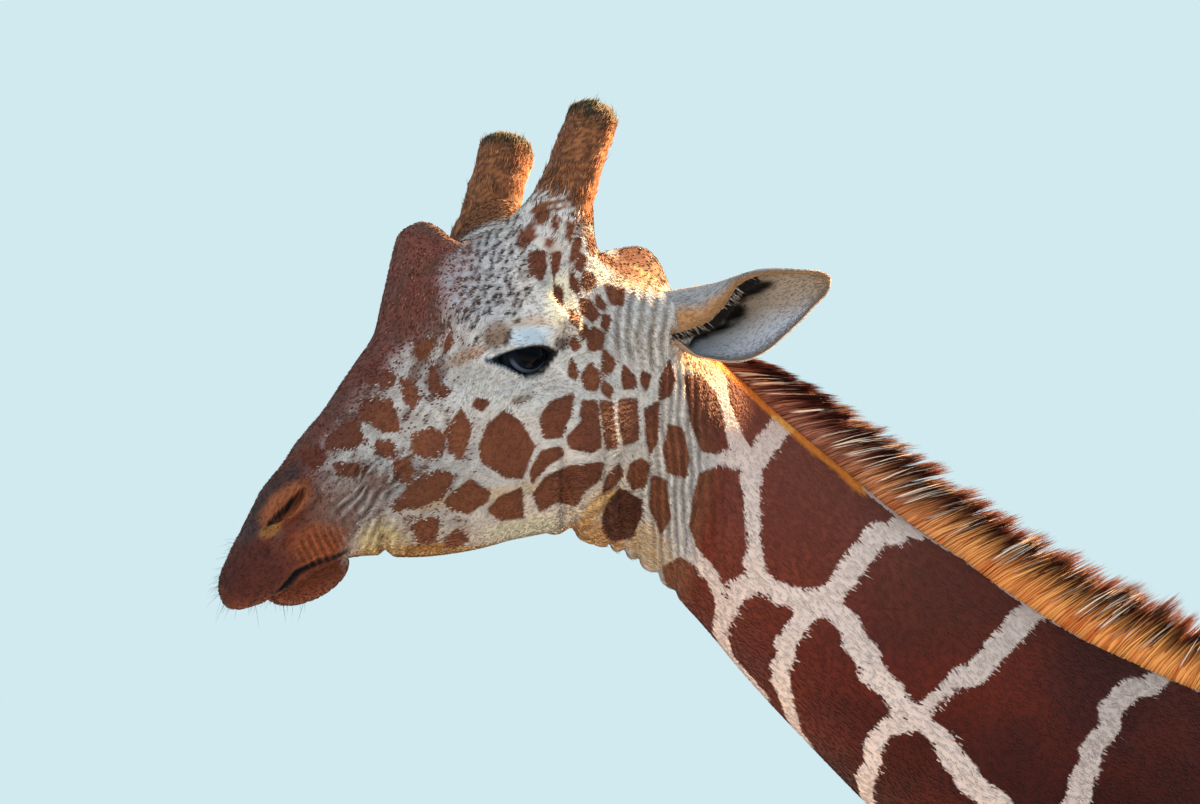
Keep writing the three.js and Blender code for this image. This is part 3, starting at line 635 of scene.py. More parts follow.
NOSTRIL_RIM = (
    (2051, 3661), (2036, 3686), (2020, 3705), (2003, 3715), (1987, 3710), (1986, 3697), (1996, 3686),
    (2013, 3673), (2030, 3662),
)
NOTCHES = (  # folds under the jaw and the throat: x of the turned head, width and depth
    (1805, 5.0, 9.0), (1593, 9.0, 12.0), (1548, 4.0, 6.0), (1531, 4.0, 5.5), (1515, 4.0, 5.5),
    (1493, 4.5, 6.0), (1472, 4.5, 4.0),
)
LOWER_LIP = ((1972.0, 0.0, 3611.0), (58.0, 42.0, 29.5), -28.0)  # an ellipsoid's middle, half sizes and tilt


def near_outline(x: Array, z: Array, edge: Array) -> tuple[Array, Array, Array]:
    """The nearest point of an edge line.

    Args:
        x: the points' first coordinate.
        z: their second.
        edge: the line's own points (n, 2).

    Returns:
        The distance, and the two coordinates of the nearest point.
    """
    flat = stack(x.reshape(-1), z.reshape(-1))
    best, who = np.full(len(flat), 1e9), np.zeros((len(flat), 2))
    for a, b in zip(edge[:-1], edge[1:]):
        ab = b - a
        t = np.clip(((flat - a) @ ab) / (ab @ ab), 0, 1)[:, None]
        q = a + t * ab
        d = np.linalg.norm(flat - q, axis=1)
        who = np.where((d < best)[:, None], q, who)
        best = np.minimum(best, d)
    return best.reshape(x.shape), who[:, 0].reshape(x.shape), who[:, 1].reshape(x.shape)


def shape_head(p: Array) -> Array:
    """The finer forms of the head, pressed into the trunk's surface of the straight animal.

    The lower lip bulges out to an ellipsoid; the lids close over the eyeball and leave the almond
    open; the mouth and the nostrils are cut as grooves; folds lie behind the jaw and round the ear.

    Args:
        p: grid of points (rows, columns, 3) in mm.

    Returns:
        The grid moved.
    """
    side = np.where(p[..., 1] < 0, -1.0, 1.0)
    p = p.copy()
    p[..., 1] *= side
    # lower lip: rays from inside the jaw are stretched to the ellipsoid
    centre, half, slope = np.array(LOWER_LIP[0]), np.array(LOWER_LIP[1]) - 3, math.radians(LOWER_LIP[2])
    start = centre + np.array([-6.0, 0.0, 16.0])
    ray = p - start
    dist = np.linalg.norm(ray, axis=-1)
    c, s = math.cos(slope), math.sin(slope)

    def tipped(q: Array) -> Array:
        """A vector in the lip's own tipped frame, over its half sizes."""
        return stack((q[..., 0] * c + q[..., 2] * s) / half[0], q[..., 1] / half[1],
                         (-q[..., 0] * s + q[..., 2] * c) / half[2])

    o, d = tipped(start - centre), tipped(unit(ray))
    b_, a_, c_ = (d * o).sum(-1), (d * d).sum(-1), (o * o).sum(-1) - 1
    reach = (-b_ + np.sqrt(np.maximum(b_**2 - a_ * c_, 0))) / a_
    low = ramp(6, -10, (p[..., 0] - 1979) * 0.5 + (p[..., 2] - 3622) * 0.87)
    near = low * ramp(95, 60, np.linalg.norm(p - centre, axis=-1))
    longer = soft_max(dist, reach, 4.0)
    p = p + unit(ray) * ((longer - dist) * near)[..., None]

    x, y, z = p[..., 0], p[..., 1], p[..., 2]
    # mouth: a narrow groove with a rolled lip on each side
    d, t = to_line(x, z, MOUTH_LINE)
    front = ramp(1915, 1945, x)
    y = y - front * 12.0 * hill(d, 3.2) * (0.4 + 0.6 * (1 - t)) * ramp(1.0, 0.8, t)
    y = y + front * 1.6 * hill(d - 9, 6)
    # nostril: a raised rim, to be slit
    into = inside_outline(x, z, NOSTRIL_RIM)
    facing = ramp(3, 10, y)
    y = y + facing * (5.0 * ramp(-2.5, 4.0, into) - 2.0 * hill(into + 5, 3.5))
    # orbit: lids over the eyeball, the fold over the upper lid, the brow and the folds below
    upper, lower = LIDS
    r = np.hypot(x - EYE_AT[0], z - EYE_AT[2])
    ball = EYE_AT[1] + np.sqrt(np.maximum(BALL_COVER**2 - r**2, 0.0))
    around = (y > 40) & (r < 120)
    near = around * 1.0
    y = y + near * 14.0 * hill(to_line(x, z, BROW_LINE)[0], 13)
    y = y - near * 6.0 * bell(x, z, (1738, 3928), (20, 13))
    y = y - near * 8.0 * bell(x, z, (1774, 3891), (10, 11))
    y = np.where(around, soft_max(y, np.where(r < BALL_COVER, ball, y - 20), 3.0), y)
    y = y - near * 4.6 * hill(to_line(x, z, CREASE_LINE)[0], 3.8)
    for line, deep, wide in zip(UNDER_LINES, (1.8, 3.0), (2.6, 4.5)):
        y = y - near * deep * hill(to_line(x, z, line)[0], wide)
    du, ux, uz = near_outline(x, z, upper)
    dl, lx, lz = near_outline(x, z, lower)
    y = y + near * 1.6 * (hill(du - 3.2, 2.6) * (z > uz) + hill(dl - 3.2, 2.6) * (z < lz))
    inside = around & (z < uz) & (z > lz) & (x > EYE_BACK[0]) & (x < EYE_FRONT[0])
    nearer = du < dl
    snap = around & (np.minimum(du, dl) < 1.7)
    x = np.where(snap, np.where(nearer, ux, lx), x)
    z = np.where(snap, np.where(nearer, uz, lz), z)
    deep = EYE_AT[1] + np.sqrt(np.maximum(23.0**2 - r**2, 0.0)) - 6
    y = np.where(inside & ~snap, np.minimum(y, deep), y)
    p = stack(x, y, z)
    p[..., 1] *= side
    return p


def roots(p: Array) -> Array:
    """The skin climbs the horns and the ears: points near a horn's or an ear's axis move along it.

    The move falls off with the way out from the root's own radius.

    Args:
        p: points (..., 3) of the straight animal.

    Returns:
        The points moved.
    """
    side = np.sign(p[..., 1:2] + 1e-9)
    flip = join([np.ones_like(side), side, np.ones_like(side)], -1)
    q = p * flip
    for at, tip, radius, climb, reach in (((1690, 76, 4020), (1634, 92, 4181), 35, 40, 19),
                                          ((1556, 84, 3930), (1377, 190, 3984), 30, 26, 16)):
        axis = unit(np.array(tip, float) - np.array(at))
        off = q - np.array(at)
        high = off @ axis
        out = np.linalg.norm(off - high[..., None] * axis, axis=-1)
        share = np.exp(-np.maximum(out - radius, 0) / reach) * ramp(-80, -20, high)
        q = q + axis * (climb * share)[..., None]
    return q * flip


def creases(p: Array, normal: Array) -> Array:
    """Skin folds that go in along the surface's own normal: nostril, mouth corner, jaw, throat and ear root.

    Args:
        p: points of the straight animal.
        normal: outward normals there.

    Returns:
        The points moved along the normals.
    """
    x, y, z = p[..., 0], np.abs(p[..., 1]), p[..., 2]
    move = np.zeros(x.shape)
    d, t = to_line(x, z, NOSTRIL_LINE)
    slit = 1.4 + 3.0 * np.sin(np.pi * np.clip(t, 0, 1))
    move -= 16.0 * ramp(slit + 2.0, slit - 0.6, d) * ramp(3, 10, y)
    # ribs of skin above the corner of the mouth
    d = np.hypot((x - 1945) / 44, (z - 3668) / 34)
    move -= 1.5 * ramp(1.1, 0.4, d) * (0.5 + 0.5 * np.sin((x * 0.86 - z * 0.5) / 1.75))
    # folds of loose skin under the chin and the throat, which run across the turned head
    under = ramp(0.0, 0.5, -normal[..., 2]) * (z > 3560) * (x < 1990)
    across = turned(p)[..., 0]
    for at, wide, deep in NOTCHES:
        move -= deep * hill(across - at, wide) * under
    folds = folds_at(p.reshape(-1, 3))
    depth = folds["deep"] * folds["share"] * (0.5 - 0.5 * np.sin(folds["phase"]))
    move -= depth.reshape(x.shape) * ramp(6, 30, y)
    return p + normal * move[..., None]


def grid_normals(p: Array) -> Array:
    """Normals of a grid that is closed round its columns.

    Args:
        p: points (rows, columns, 3).

    Returns:
        The outward normals there.
    """
    across = np.roll(p, -1, 1) - np.roll(p, 1, 1)
    down = np.gradient(p, axis=0)
    return unit(np.cross(across, down))


@dataclass(frozen=True)
class Fold:
    """A field of fine folds in the framing: its middle, half size and tilt, and how its wave runs in degrees.

    A field with no such way is a fan about the ear. Then come the period, the strength, the depth in mm, the
    colours of painted light on the folds' ridges and of painted shade in their furrows, how much they cover,
    and how far the wave strays.
    """

    at: Pair
    half: Pair
    tilt: float
    run: float | None
    period: float
    share: float
    deep: float
    # painted light on the folds' ridges and painted shade in their furrows
    ridge: Triple
    furrow_shade: Triple
    mix: float
    stray: float = 1.0


# each field's two colours are painted light on the folds' ridges and painted shade in their furrows
FOLDS = (
    # behind the jaw
    Fold((676, 462), (34, 118), 4, -3, 8.5, 1.0, 3.0, (214, 200, 192), (92, 66, 54), 0.62, 0.35),
    Fold((706, 520), (26, 60), 8, -3, 10.5, 0.7, 1.8, (206, 190, 182), (112, 84, 74), 0.4, 0.35),
    # before the ear
    Fold((642, 325), (46, 48), 6, None, 11.5, 1.0, 1.9, (198, 200, 206), (112, 96, 86), 0.7, 0.4),
    # behind the nostril
    Fold((368, 486), (48, 34), -38, 46, 8.4, 1.0, 2.0, (172, 160, 160), (70, 46, 40), 0.66, 2.0),
    # the upper lip's ribs
    Fold((322, 546), (32, 20), -25, -25, 7.0, 0.9, 1.8, (176, 98, 58), (84, 40, 26), 0.6, 0.4),
    # below the eye
    Fold((527, 388), (46, 13), -8, 80, 7.0, 0.6, 0.6, (204, 208, 214), (132, 116, 108), 0.6),
    # chin
    Fold((383, 540), (28, 26), 20, 18, 9.0, 0.9, 2.6, (206, 192, 156), (118, 96, 66), 0.75),
    # corner of the jaw
    Fold((600, 512), (40, 24), -50, 62, 12.0, 0.7, 2.4, (202, 168, 112), (104, 72, 44), 0.6),
)


def folds_at(p: Array) -> dict[str, Array]:
    """The fine folds at points of the straight animal.

    Args:
        p: points (n, 3) in mm.

    Returns:
        "share" and "phase", how strong the strongest field is and the angle of its wave; "deep", its depth;
        "mix", "ridge" and "furrow_shade", how much its colours cover and what they are: painted light on the
        ridges and painted shade in the furrows.
    """
    near = stack(p[:, 0], np.abs(p[:, 1]), p[:, 2])
    u, w = np.moveaxis(pictured(turned(near)), -1, 0)
    out = {key: np.zeros(len(p)) for key in ("share", "phase", "deep", "mix")}
    out |= {key: np.zeros((len(p), 3)) for key in ("ridge", "furrow_shade")}
    stray = 5.5 * noise(near, 46, 12) + 3.0 * noise(near, 17, 13)
    broken = 0.8 + 0.25 * noise(near, 24, 14)
    for fold in FOLDS:
        r = tipped_oval(u, w, fold.at, fold.half, fold.tilt)
        share = ramp(1.1, 0.6, r) * fold.share * (p[:, 2] > 3400)
        share = share * (broken if fold.stray < 1.5 else np.clip(0.7 + 1.1 * noise(near, 15, 14), 0, 1))
        b = math.radians(fold.run or 0)
        go = (u - fold.at[0]) * math.cos(b) + (w - fold.at[1]) * math.sin(b)
        if fold.run is None:
            go = np.hypot(u - 706, (w - 338) / 2.0)
        more = share > out["share"]
        phase = 2 * np.pi * (go + stray * fold.stray) / fold.period
        for key, value in (("share", share), ("phase", phase), ("deep", fold.deep), ("mix", fold.mix)):
            out[key] = np.where(more, value, out[key])
        # painted light on the ridges and painted shade in the furrows
        for key, colour in (("ridge", fold.ridge), ("furrow_shade", fold.furrow_shade)):
            out[key] = np.where(more[:, None], rgb(*colour), out[key])
    return out


def tipped_oval(u: Array, w: Array, at: Sequence[float], half: Sequence[float], tilt: float) -> Array:
    """How far points are from a tilted oval's middle, 1 on its outline.

    Args:
        u: the points' first coordinate.
        w: their second.
        at: the middle.
        half: the oval's half sizes.
        tilt: its turn in degrees.

    Returns:
        The distances.
    """
    c, s = math.cos(math.radians(tilt)), math.sin(math.radians(tilt))
    u, w = u - at[0], w - at[1]
    return np.hypot((u * c + w * s) / half[0], (-u * s + w * c) / half[1])


# ---------------------------------------------------------------- markings
# the ridge beside the mane where a golden strip of sunlight is painted, and the mane's foot, as across and
# down in the framing
RIDGE_LINE = ((712, 356), (727, 367), (750, 387), (785, 420), (820, 450), (845, 470), (862, 487))
BASE_LINE = ((862, 487), (905, 522), (960, 556), (1020, 600), (1080, 637), (1140, 664), (1205, 692))
BRIDGE_LINE = ((444, 170), (454, 215), (464, 255), (455, 290), (428, 318), (396, 352), (370, 385), (338, 425),
               (305, 455), (250, 500))
NOT_DARK = -40.0  # a way into a patch that means well outside it
HORN_ROOT = np.array([1702.0, 71.0, 3984.0])
HORN_TIP = np.array([1634.0, 92.0, 4181.0])
NET = (
    # the pale lines of the neck's near side, as across and down in the framing
    ((709, 362), (720, 391), (730, 425), (743, 450), (751, 465)), ((751, 465), (764, 446), (783, 418)),
    ((751, 465), (753, 501), (756, 543), (757, 576)),
    ((751, 465), (736, 461), (718, 461), (701, 467), (692, 497), (685, 526), (697, 556), (711, 581),
     (722, 602)),
    ((757, 576), (743, 585), (729, 601), (720, 626), (726, 650)), ((757, 576), (786, 592), (815, 601)),
    ((815, 601), (843, 585), (856, 565), (861, 547), (876, 537), (897, 530), (920, 526)),
    ((815, 601), (792, 627), (780, 675), (786, 700), (800, 740)),
    ((815, 601), (840, 621), (862, 650), (885, 680), (915, 716)),
    ((915, 716), (940, 690), (975, 665), (1005, 635), (1033, 614)),
    ((915, 716), (893, 725), (877, 745), (863, 790), (856, 840)),
    ((915, 716), (944, 741), (979, 790), (1006, 820)),
    ((1162, 676), (1130, 695), (1113, 714), (1093, 745), (1073, 799), (1060, 850)),
    ((722, 602), (720, 626), (726, 650), (760, 700)),
)
HEAD_PATCHES = (
    # outlines of the head's dark patches in the framing, each point's across and down in turn
    (503, 412, 518, 420, 534, 446, 522, 478, 505, 477, 482, 462, 479, 448, 487, 427), (573, 393, 549, 403,
     540, 420, 544, 438, 560, 437, 570, 414), (582, 401, 597, 401, 601, 447, 590, 452, 570, 447, 567, 438,
     580, 424), (600, 401, 611, 402, 616, 447, 606, 449), (619, 400, 636, 399, 638, 440, 624, 445,
     619, 420), (645, 410, 658, 402, 657, 440, 650, 453, 647, 440), (559, 447, 563, 455, 546, 466, 532, 482,
     530, 472, 541, 452), (603, 463, 600, 479, 584, 490, 576, 505, 556, 501, 540, 511, 533, 494, 546, 477,
     571, 466), (440, 470, 454, 476, 441, 500, 408, 508, 391, 514, 394, 502, 410, 485, 425, 476), (470, 480,
     489, 492, 487, 501, 468, 513, 450, 510, 444, 500, 456, 490), (521, 489, 522, 517, 500, 520, 488, 510,
     500, 497), (438, 518, 435, 541, 418, 544, 412, 528, 420, 520), (457, 530, 468, 540, 450, 549,
     444, 540), (361, 400, 390, 400, 397, 418, 400, 431, 386, 432, 370, 424, 359, 420), (355, 420, 366, 440,
     355, 448, 330, 449, 325, 441, 340, 427), (461, 409, 471, 430, 461, 459, 451, 452, 447, 430), (401, 379,
     412, 381, 421, 398, 412, 409, 403, 398), (431, 366, 437, 371, 439, 383, 450, 392, 442, 399, 429, 390),
    (433, 339, 436, 346, 428, 355, 417, 352, 420, 343), (386, 369, 396, 376, 392, 385, 381, 387, 379, 378),
    (477, 399, 489, 402, 482, 411, 473, 406), (438, 433, 441, 446, 430, 455, 421, 450, 424, 439), (412, 456,
     405, 471, 395, 476, 395, 461), (394, 443, 395, 457, 383, 457, 381, 449), (359, 463, 352, 475, 335, 475,
     339, 465), (448, 335, 453, 342, 447, 351, 443, 344), (571, 359, 578, 370, 575, 380, 568, 374),
    (590, 363, 601, 375, 596, 391, 585, 389, 581, 376), (603, 381, 613, 388, 609, 397, 601, 390), (603, 349,
     615, 361, 612, 372, 602, 371), (592, 327, 604, 333, 601, 348, 589, 351, 587, 338), (573, 337, 580, 347,
     574, 351, 570, 344), (585, 325, 589, 332, 583, 339, 579, 332), (624, 365, 634, 377, 636, 387, 624, 389,
     621, 376), (642, 371, 651, 376, 646, 391, 640, 382), (669, 361, 674, 380, 669, 396, 659, 399,
     660, 380), (669, 425, 682, 429, 689, 459, 685, 477, 668, 472, 664, 450), (641, 459, 649, 464, 645, 486,
     633, 489, 627, 478, 630, 465), (652, 476, 665, 480, 670, 518, 661, 532, 650, 507), (620, 489, 641, 500,
     641, 515, 631, 537, 612, 541, 603, 530, 603, 515, 612, 497), (619, 464, 623, 474, 612, 487, 603, 491,
     608, 475), (684, 376, 700, 376, 714, 392, 722, 415, 727, 445, 718, 453, 702, 450, 692, 425), (663, 567,
     680, 558, 694, 567, 706, 591, 711, 608, 710, 632, 694, 618, 680, 596, 666, 582), (700, 474, 720, 466,
     738, 472, 742, 500, 745, 552, 732, 566, 717, 570, 700, 550, 690, 528, 694, 498), (533, 206, 549, 210,
     545, 227, 534, 222), (519, 232, 534, 225, 535, 238, 520, 249), (528, 254, 544, 252, 546, 268, 541, 281,
     529, 272), (551, 254, 561, 251, 559, 268, 553, 277), (545, 239, 554, 241, 549, 251), (554, 214,
     561, 220, 556, 233, 551, 226), (568, 221, 575, 226, 570, 243, 564, 238), (575, 238, 581, 235, 578, 256,
     569, 263), (580, 253, 586, 258, 581, 271, 574, 268), (588, 231, 595, 242, 593, 255, 587, 248),
    (570, 271, 578, 284, 579, 295, 570, 288), (584, 271, 593, 275, 595, 284, 586, 291, 580, 284), (554, 283,
     563, 290, 562, 305, 555, 300), (580, 299, 590, 301, 599, 315, 592, 322, 581, 312), (597, 295, 604, 304,
     604, 311, 596, 306), (605, 285, 623, 290, 623, 305, 611, 304), (570, 309, 579, 318, 577, 327,
     570, 320), (604, 313, 610, 318, 607, 331, 601, 326), (412, 434, 430, 428, 444, 436, 442, 452, 424, 458,
     411, 450), (334, 464, 350, 463, 364, 467, 356, 476, 340, 476), (393, 460, 404, 459, 415, 468, 408, 484,
     396, 478), (415, 340, 426, 341, 434, 349, 424, 360, 414, 356), (376, 441, 390, 440, 396, 450, 386, 458,
     375, 452), (300, 452, 318, 446, 326, 458, 312, 470), (362, 372, 374, 366, 380, 378, 370, 388),
    (619, 250, 632, 245, 649, 250, 648, 261, 632, 263, 621, 257), (597, 253, 622, 263, 640, 274, 618, 270,
     602, 262),
)


@dataclass(frozen=True)
class Tint:
    """A soft spot of colour on the head: centre, half size and tilt in the framing, colour and strength."""

    at: Pair
    half: Pair
    tilt: float
    colour: Triple
    share: float


TINTS = (
    Tint((270, 505), (60, 16), -52, (66, 52, 54), 0.8),  # grey top of the nose
    Tint((318, 540), (34, 20), -20, (140, 72, 44), 0.8),  # upper lip's side
    Tint((285, 504), (35, 16), -42, (150, 84, 52), 0.95),  # rim of the nostril
    Tint((252, 572), (36, 34), -50, (84, 42, 38), 0.8),  # front of the upper lip
    Tint((320, 585), (40, 20), -20, (94, 44, 28), 0.9),  # lower lip
    Tint((352, 498), (46, 32), -35, (124, 94, 84), 0.7),  # wrinkles behind the nostril
    Tint((380, 542), (28, 20), 0, (176, 164, 134), 0.8),  # chin
    Tint((410, 553), (60, 8), 2, (148, 112, 72), 0.85),  # lower edge of the chin
    Tint((425, 551), (48, 9), -2, (140, 102, 60), 1.0),
    Tint((291, 580), (16, 5), -52, (44, 26, 22), 0.9),  # painted shadow under the front of the mouth line
    Tint((270, 530), (14, 8), -30, (168, 116, 60), 0.6),
    Tint((700, 365), (30, 13), 30, (206, 150, 92), 0.6),  # painted sunlight on the hair below the ear
    Tint((596, 508), (36, 9), -50, (190, 150, 90), 0.7),  # corner of the jaw
    Tint((520, 528), (46, 10), -10, (180, 184, 174), 0.8),  # lower edge of the jaw
    Tint((480, 549), (90, 5), -6, (168, 140, 104), 0.7),
    Tint((480, 497), (90, 9), -10, (190, 160, 118), 0.45),  # between the jaw's patches
    Tint((523, 399), (15, 4.5), -25, (112, 88, 70), 0.8),  # painted shade in the groove below the eye
    Tint((531, 321), (28, 7), -4, (188, 164, 148), 0.7),  # over the upper lid's fold
    Tint((480, 378), (34, 14), 10, (186, 181, 176), 0.6),  # before and under the eye
    Tint((530, 337), (24, 11), -6, (190, 202, 216), 1.0),  # upper lid: its pale fur, with painted blue-white skylight on the dome
    Tint((496, 334), (15, 19), 28, (128, 102, 84), 0.9),  # bulge before the lid
    Tint((508, 338), (3.5, 11), 18, (74, 58, 50), 0.9),  # painted shadow in the pocket before the eye
    Tint((468, 356), (26, 8), -24, (168, 132, 110), 0.7),  # below the pocket
    Tint((563, 343), (11, 8), -20, (92, 74, 66), 0.85),  # outer corner
    Tint((480, 285), (44, 50), 0, (190, 188, 198), 0.6),  # speckled forehead
    Tint((560, 300), (17, 30), 18, (250, 240, 214), 0.8),  # painted sunlight on the fur behind the brow
    Tint((640, 268), (36, 22), 18, (140, 92, 56), 0.9),  # knob
    Tint((640, 258), (19, 8), 8, (84, 46, 34), 0.95),
    Tint((622, 268), (16, 4), 14, (92, 54, 38), 0.9),
    Tint((656, 277), (16, 3.5), 34, (92, 56, 40), 0.9),
    Tint((640, 272), (24, 2.5), 24, (206, 170, 122), 0.8),
    Tint((640, 286), (34, 5), 10, (214, 190, 158), 0.85),
    Tint((640, 325), (42, 40), 0, (176, 173, 174), 0.8),  # folds before the ear
    Tint((600, 535), (34, 14), 20, (178, 134, 86), 0.8),  # throat
    Tint((650, 545), (30, 22), 50, (190, 160, 116), 0.6),
)


def inside_outline(u: Array, w: Array, outline: Sequence[Pair]) -> Array:
    """The way into a closed outline.

    Args:
        u: the points' first coordinate.
        w: their second.
        outline: the outline's own points.

    Returns:
        The distance from the outline, below 0 outside it.
    """
    best, within = np.full(u.shape, 1e9), np.zeros(u.shape, bool)
    for (ax, ay), (bx, by) in zip(outline, outline[1:] + outline[:1]):
        dx, dy = bx - ax, by - ay
        t = np.clip(((u - ax) * dx + (w - ay) * dy) / (dx * dx + dy * dy), 0, 1)
        best = np.minimum(best, np.hypot(u - ax - t * dx, w - ay - t * dy))
        crosses = (ay > w) != (by > w)
        within ^= crosses & (u < dx * (w - ay) / (by - ay if by != ay else 1e-9) + ax)
    return np.where(within, best, -best)


def bare_skin(near: Array) -> Array:
    """Where black skin shows round the eyeball and in the nostril's slit, and where the mouth's groove is
    painted black as shade.

    Args:
        near: points (n, 3) of the left side, in mm.

    Returns:
        Its share.
    """
    x, y, z = near.T
    du, _, uz = near_outline(x, z, LIDS[0])
    dl, _, lz = near_outline(x, z, LIDS[1])
    within = (z < uz) & (z > lz) & (x > EYE_BACK[0]) & (x < EYE_FRONT[0])
    rim = np.where(within, 0.0, np.minimum(du * 1.8, dl * 0.8))
    bare = ramp(4.2, 2.2, rim) * (y > 60) * (x > 1660)
    d, t = to_line(x, z, NOSTRIL_LINE)
    bare = np.maximum(bare, ramp(4.2, 2.4, d - 3.0 * np.sin(np.pi * t)) * (y > 3) * (x > 1980))
    # painted shade: black along the mouth's groove
    d, t = to_line(x, z, MOUTH_LINE)
    return np.maximum(bare, ramp(4.4, 2.2, d) * ramp(1.0, 0.85, t) * (x > 1925))


class Markings:
    """Works out the coat's pattern and colours anywhere on the skin."""

    def __init__(self) -> None:
        """Draws the seeds of the patches of the body and legs."""
        draw = np.random.default_rng(11)
        seeds = []
        for s0, s1, n, m in ((23.0, 36.0, 13, 11), (16.0, 24.0, 9, 4)):
            s = s0 + (s1 - s0) * (np.arange(n) + 0.5) / n
            for i, at in enumerate(s):
                v = np.pi * (np.arange(m) + 0.5 * (i % 2) + 0.25) / m
                v = v + draw.uniform(-0.3, 0.3, m) * np.pi / m
                ss = at + draw.uniform(-0.3, 0.3, m) * (s1 - s0) / n
                seeds.append(trunk_point(ss, v))
        for rings in (FORELEG, HINDLEG):
            z = 2000.0
            turn = 0.0
            while z > 180:
                size = 70 + 130 * max(0.0, z - 250) / 1750
                n = 3 if z > 1200 else 2
                for k in range(n):
                    a = turn + 2 * np.pi * k / n + draw.uniform(-0.25, 0.25)
                    t = np.array([ring_share(rings, z + draw.uniform(-0.2, 0.2) * size)])
                    x, deep, wide, y, at = (q[0] for q in leg_ring(rings, t))
                    seeds.append(np.array([[x + deep * math.cos(a), y + wide * math.sin(a), at]]))
                turn += 1.1
                z -= size * 0.95
        self.seeds = join(seeds)
        self.tones = draw.uniform(0, 1, len(self.seeds))
        self.net: list[Array] = []
        across, down = np.meshgrid(np.arange(-5, 6), np.arange(-8, 9))
        spots = stack(493 + across * 8.2 + (down % 2) * 4.1 - down * 1.2, 270 + down * 8.4).reshape(-1, 2)
        spots = spots + draw.uniform(-2.4, 2.4, spots.shape)
        near = np.hypot((spots[:, 0] - 494) / 42, (spots[:, 1] - 270) / 68) + draw.normal(0, 0.12, len(spots))
        pocket = np.hypot((spots[:, 0] - 498) / 19, (spots[:, 1] - 333) / 22)
        self.specks = spots[(near < 1.0) & (pocket > 1)]
        self.leans = np.radians(draw.normal(-50, 16, len(self.specks)))
        self.longs = draw.uniform(2.8, 5.4, len(self.specks))

    def lay_net(self, grid: Array) -> None:
        """Lays the neck's pale lines on the near side, as points in space.

        Args:
            grid: points (..., 3) of the straight skin.
        """
        near = grid[(grid[..., 1] > 0)]
        seen = pictured(turned(near))
        for line in NET:
            share = np.linspace(0, 1, 12 * len(line))
            steps = catmull(np.array(line, float), share)
            d = ((seen[None] - steps[:, None]) ** 2).sum(-1)
            spots = near[np.argmin(d, 1)]
            for _ in range(3):
                spots[1:-1] = (spots[:-2] + 2 * spots[1:-1] + spots[2:]) / 4
            self.net.append(join([spots[::2], spots[-1:]]))

    def cells(self, p: Array) -> tuple[Array, Array]:
        """The cells round the seeds.

        Args:
            p: points (n, 3).

        Returns:
            The way to the nearest line between cells, in mm, and the cell's own tone.
        """
        best, tone = np.empty(len(p)), np.empty(len(p))
        for k in range(0, len(p), 4000):
            q = p[k:k + 4000]
            d2 = ((q[:, None] - self.seeds[None]) ** 2).sum(-1)
            own = np.argmin(d2, 1)
            gap = np.linalg.norm(self.seeds[None] - self.seeds[own][:, None], axis=-1)
            edge = (d2 - d2[np.arange(len(q)), own][:, None]) / np.maximum(2 * gap, 1e-6)
            edge[np.arange(len(q)), own] = 1e9
            best[k:k + 4000] = edge.min(1)
            tone[k:k + 4000] = self.tones[own]
        return best, tone

    def net_distance(self, p: Array) -> Array:
        """The way to the neck's pale lines.

        Args:
            p: points (n, 3).

        Returns:
            The way to the nearest line, in mm.
        """
        best = np.full(len(p), 1e9)
        for line in self.net:
            for u, w in zip(line[:-1], line[1:]):
                ab = w - u
                t = np.clip(((p - u) @ ab) / max(ab @ ab, 1e-6), 0, 1)[:, None]
                best = np.minimum(best, np.linalg.norm(p - u - t * ab, axis=1))
        return best

    def patches(
        self, p: Array, near: Array, u: Array, w: Array, on_head: Array
    ) -> tuple[Array, Array, Array]:
        """The dark patches: cells on body and legs, the net's on the neck's near side, outlines on the head.

        Args:
            p: points (n, 3) in mm.
            near: the same points on the left side.
            u: where those stand in the framing, across.
            w: and down.
            on_head: 1 on the head and 0 behind it.

        Returns:
            The way into a patch in mm, the cell's tone, and the share of the net.
        """
        x, _, z = near.T
        far = ramp(0, -60, p[:, 1])
        warp = stack(noise(p, 90, 1), noise(p, 90, 2), noise(p, 90, 3))
        loose = near + warp * (9 + 22 * far)[:, None]
        edge, tone = self.cells(loose)
        body = edge - 13 - 5 * ramp(1300, 500, z) - 3 * noise(p, 160, 4) - 60 * ramp(560, 330, z)
        net = self.net_distance(loose if far.any() else near) - 14.0 - 2.5 * noise(p, 120, 9)
        within = ramp(700, 735, u + (w - 480) * 0.1) * ramp(1300, 1180, u) * ramp(900, 815, w)
        patch = body * (1 - within) + net * within
        some = (u < 760) & (z > 3400)
        head = np.full(len(p), NOT_DARK)
        for flat in HEAD_PATCHES:
            into = inside_outline(u[some], w[some], tuple(zip(flat[::2], flat[1::2])))
            head[some] = np.maximum(head[some], into * SCALE + 1.7)
        rim = (z * 0.72 - x * 0.69, (x * 0.72 + z * 0.69) * 0.28, p[:, 1])
        patch = patch + 2.6 * noise(np.stack(rim, -1), 8, 27) * ramp(2900, 3300, headward(p))
        patch = np.maximum(patch * (1 - on_head) + NOT_DARK * on_head, head)
        return patch, tone, within

    def specked(self, u: Array, w: Array, on_head: Array) -> Array:
        """The way into a speck of the forehead.

        Args:
            u: the points' place in the framing, across.
            w: and down.
            on_head: 1 on the head and 0 behind it.

        Returns:
            The way in, in mm.
        """
        spot = np.full(len(u), NOT_DARK)
        some = (np.abs(u - 490) < 75) & (np.abs(w - 275) < 95) & (on_head > 0)
        for at, lean, long in zip(self.specks, self.leans, self.longs):
            r = tipped_oval(u[some], w[some], at, (long, 1.9), math.degrees(lean))
            spot[some] = np.maximum(spot[some], (1 - r) * 1.9 * SCALE)
        return spot

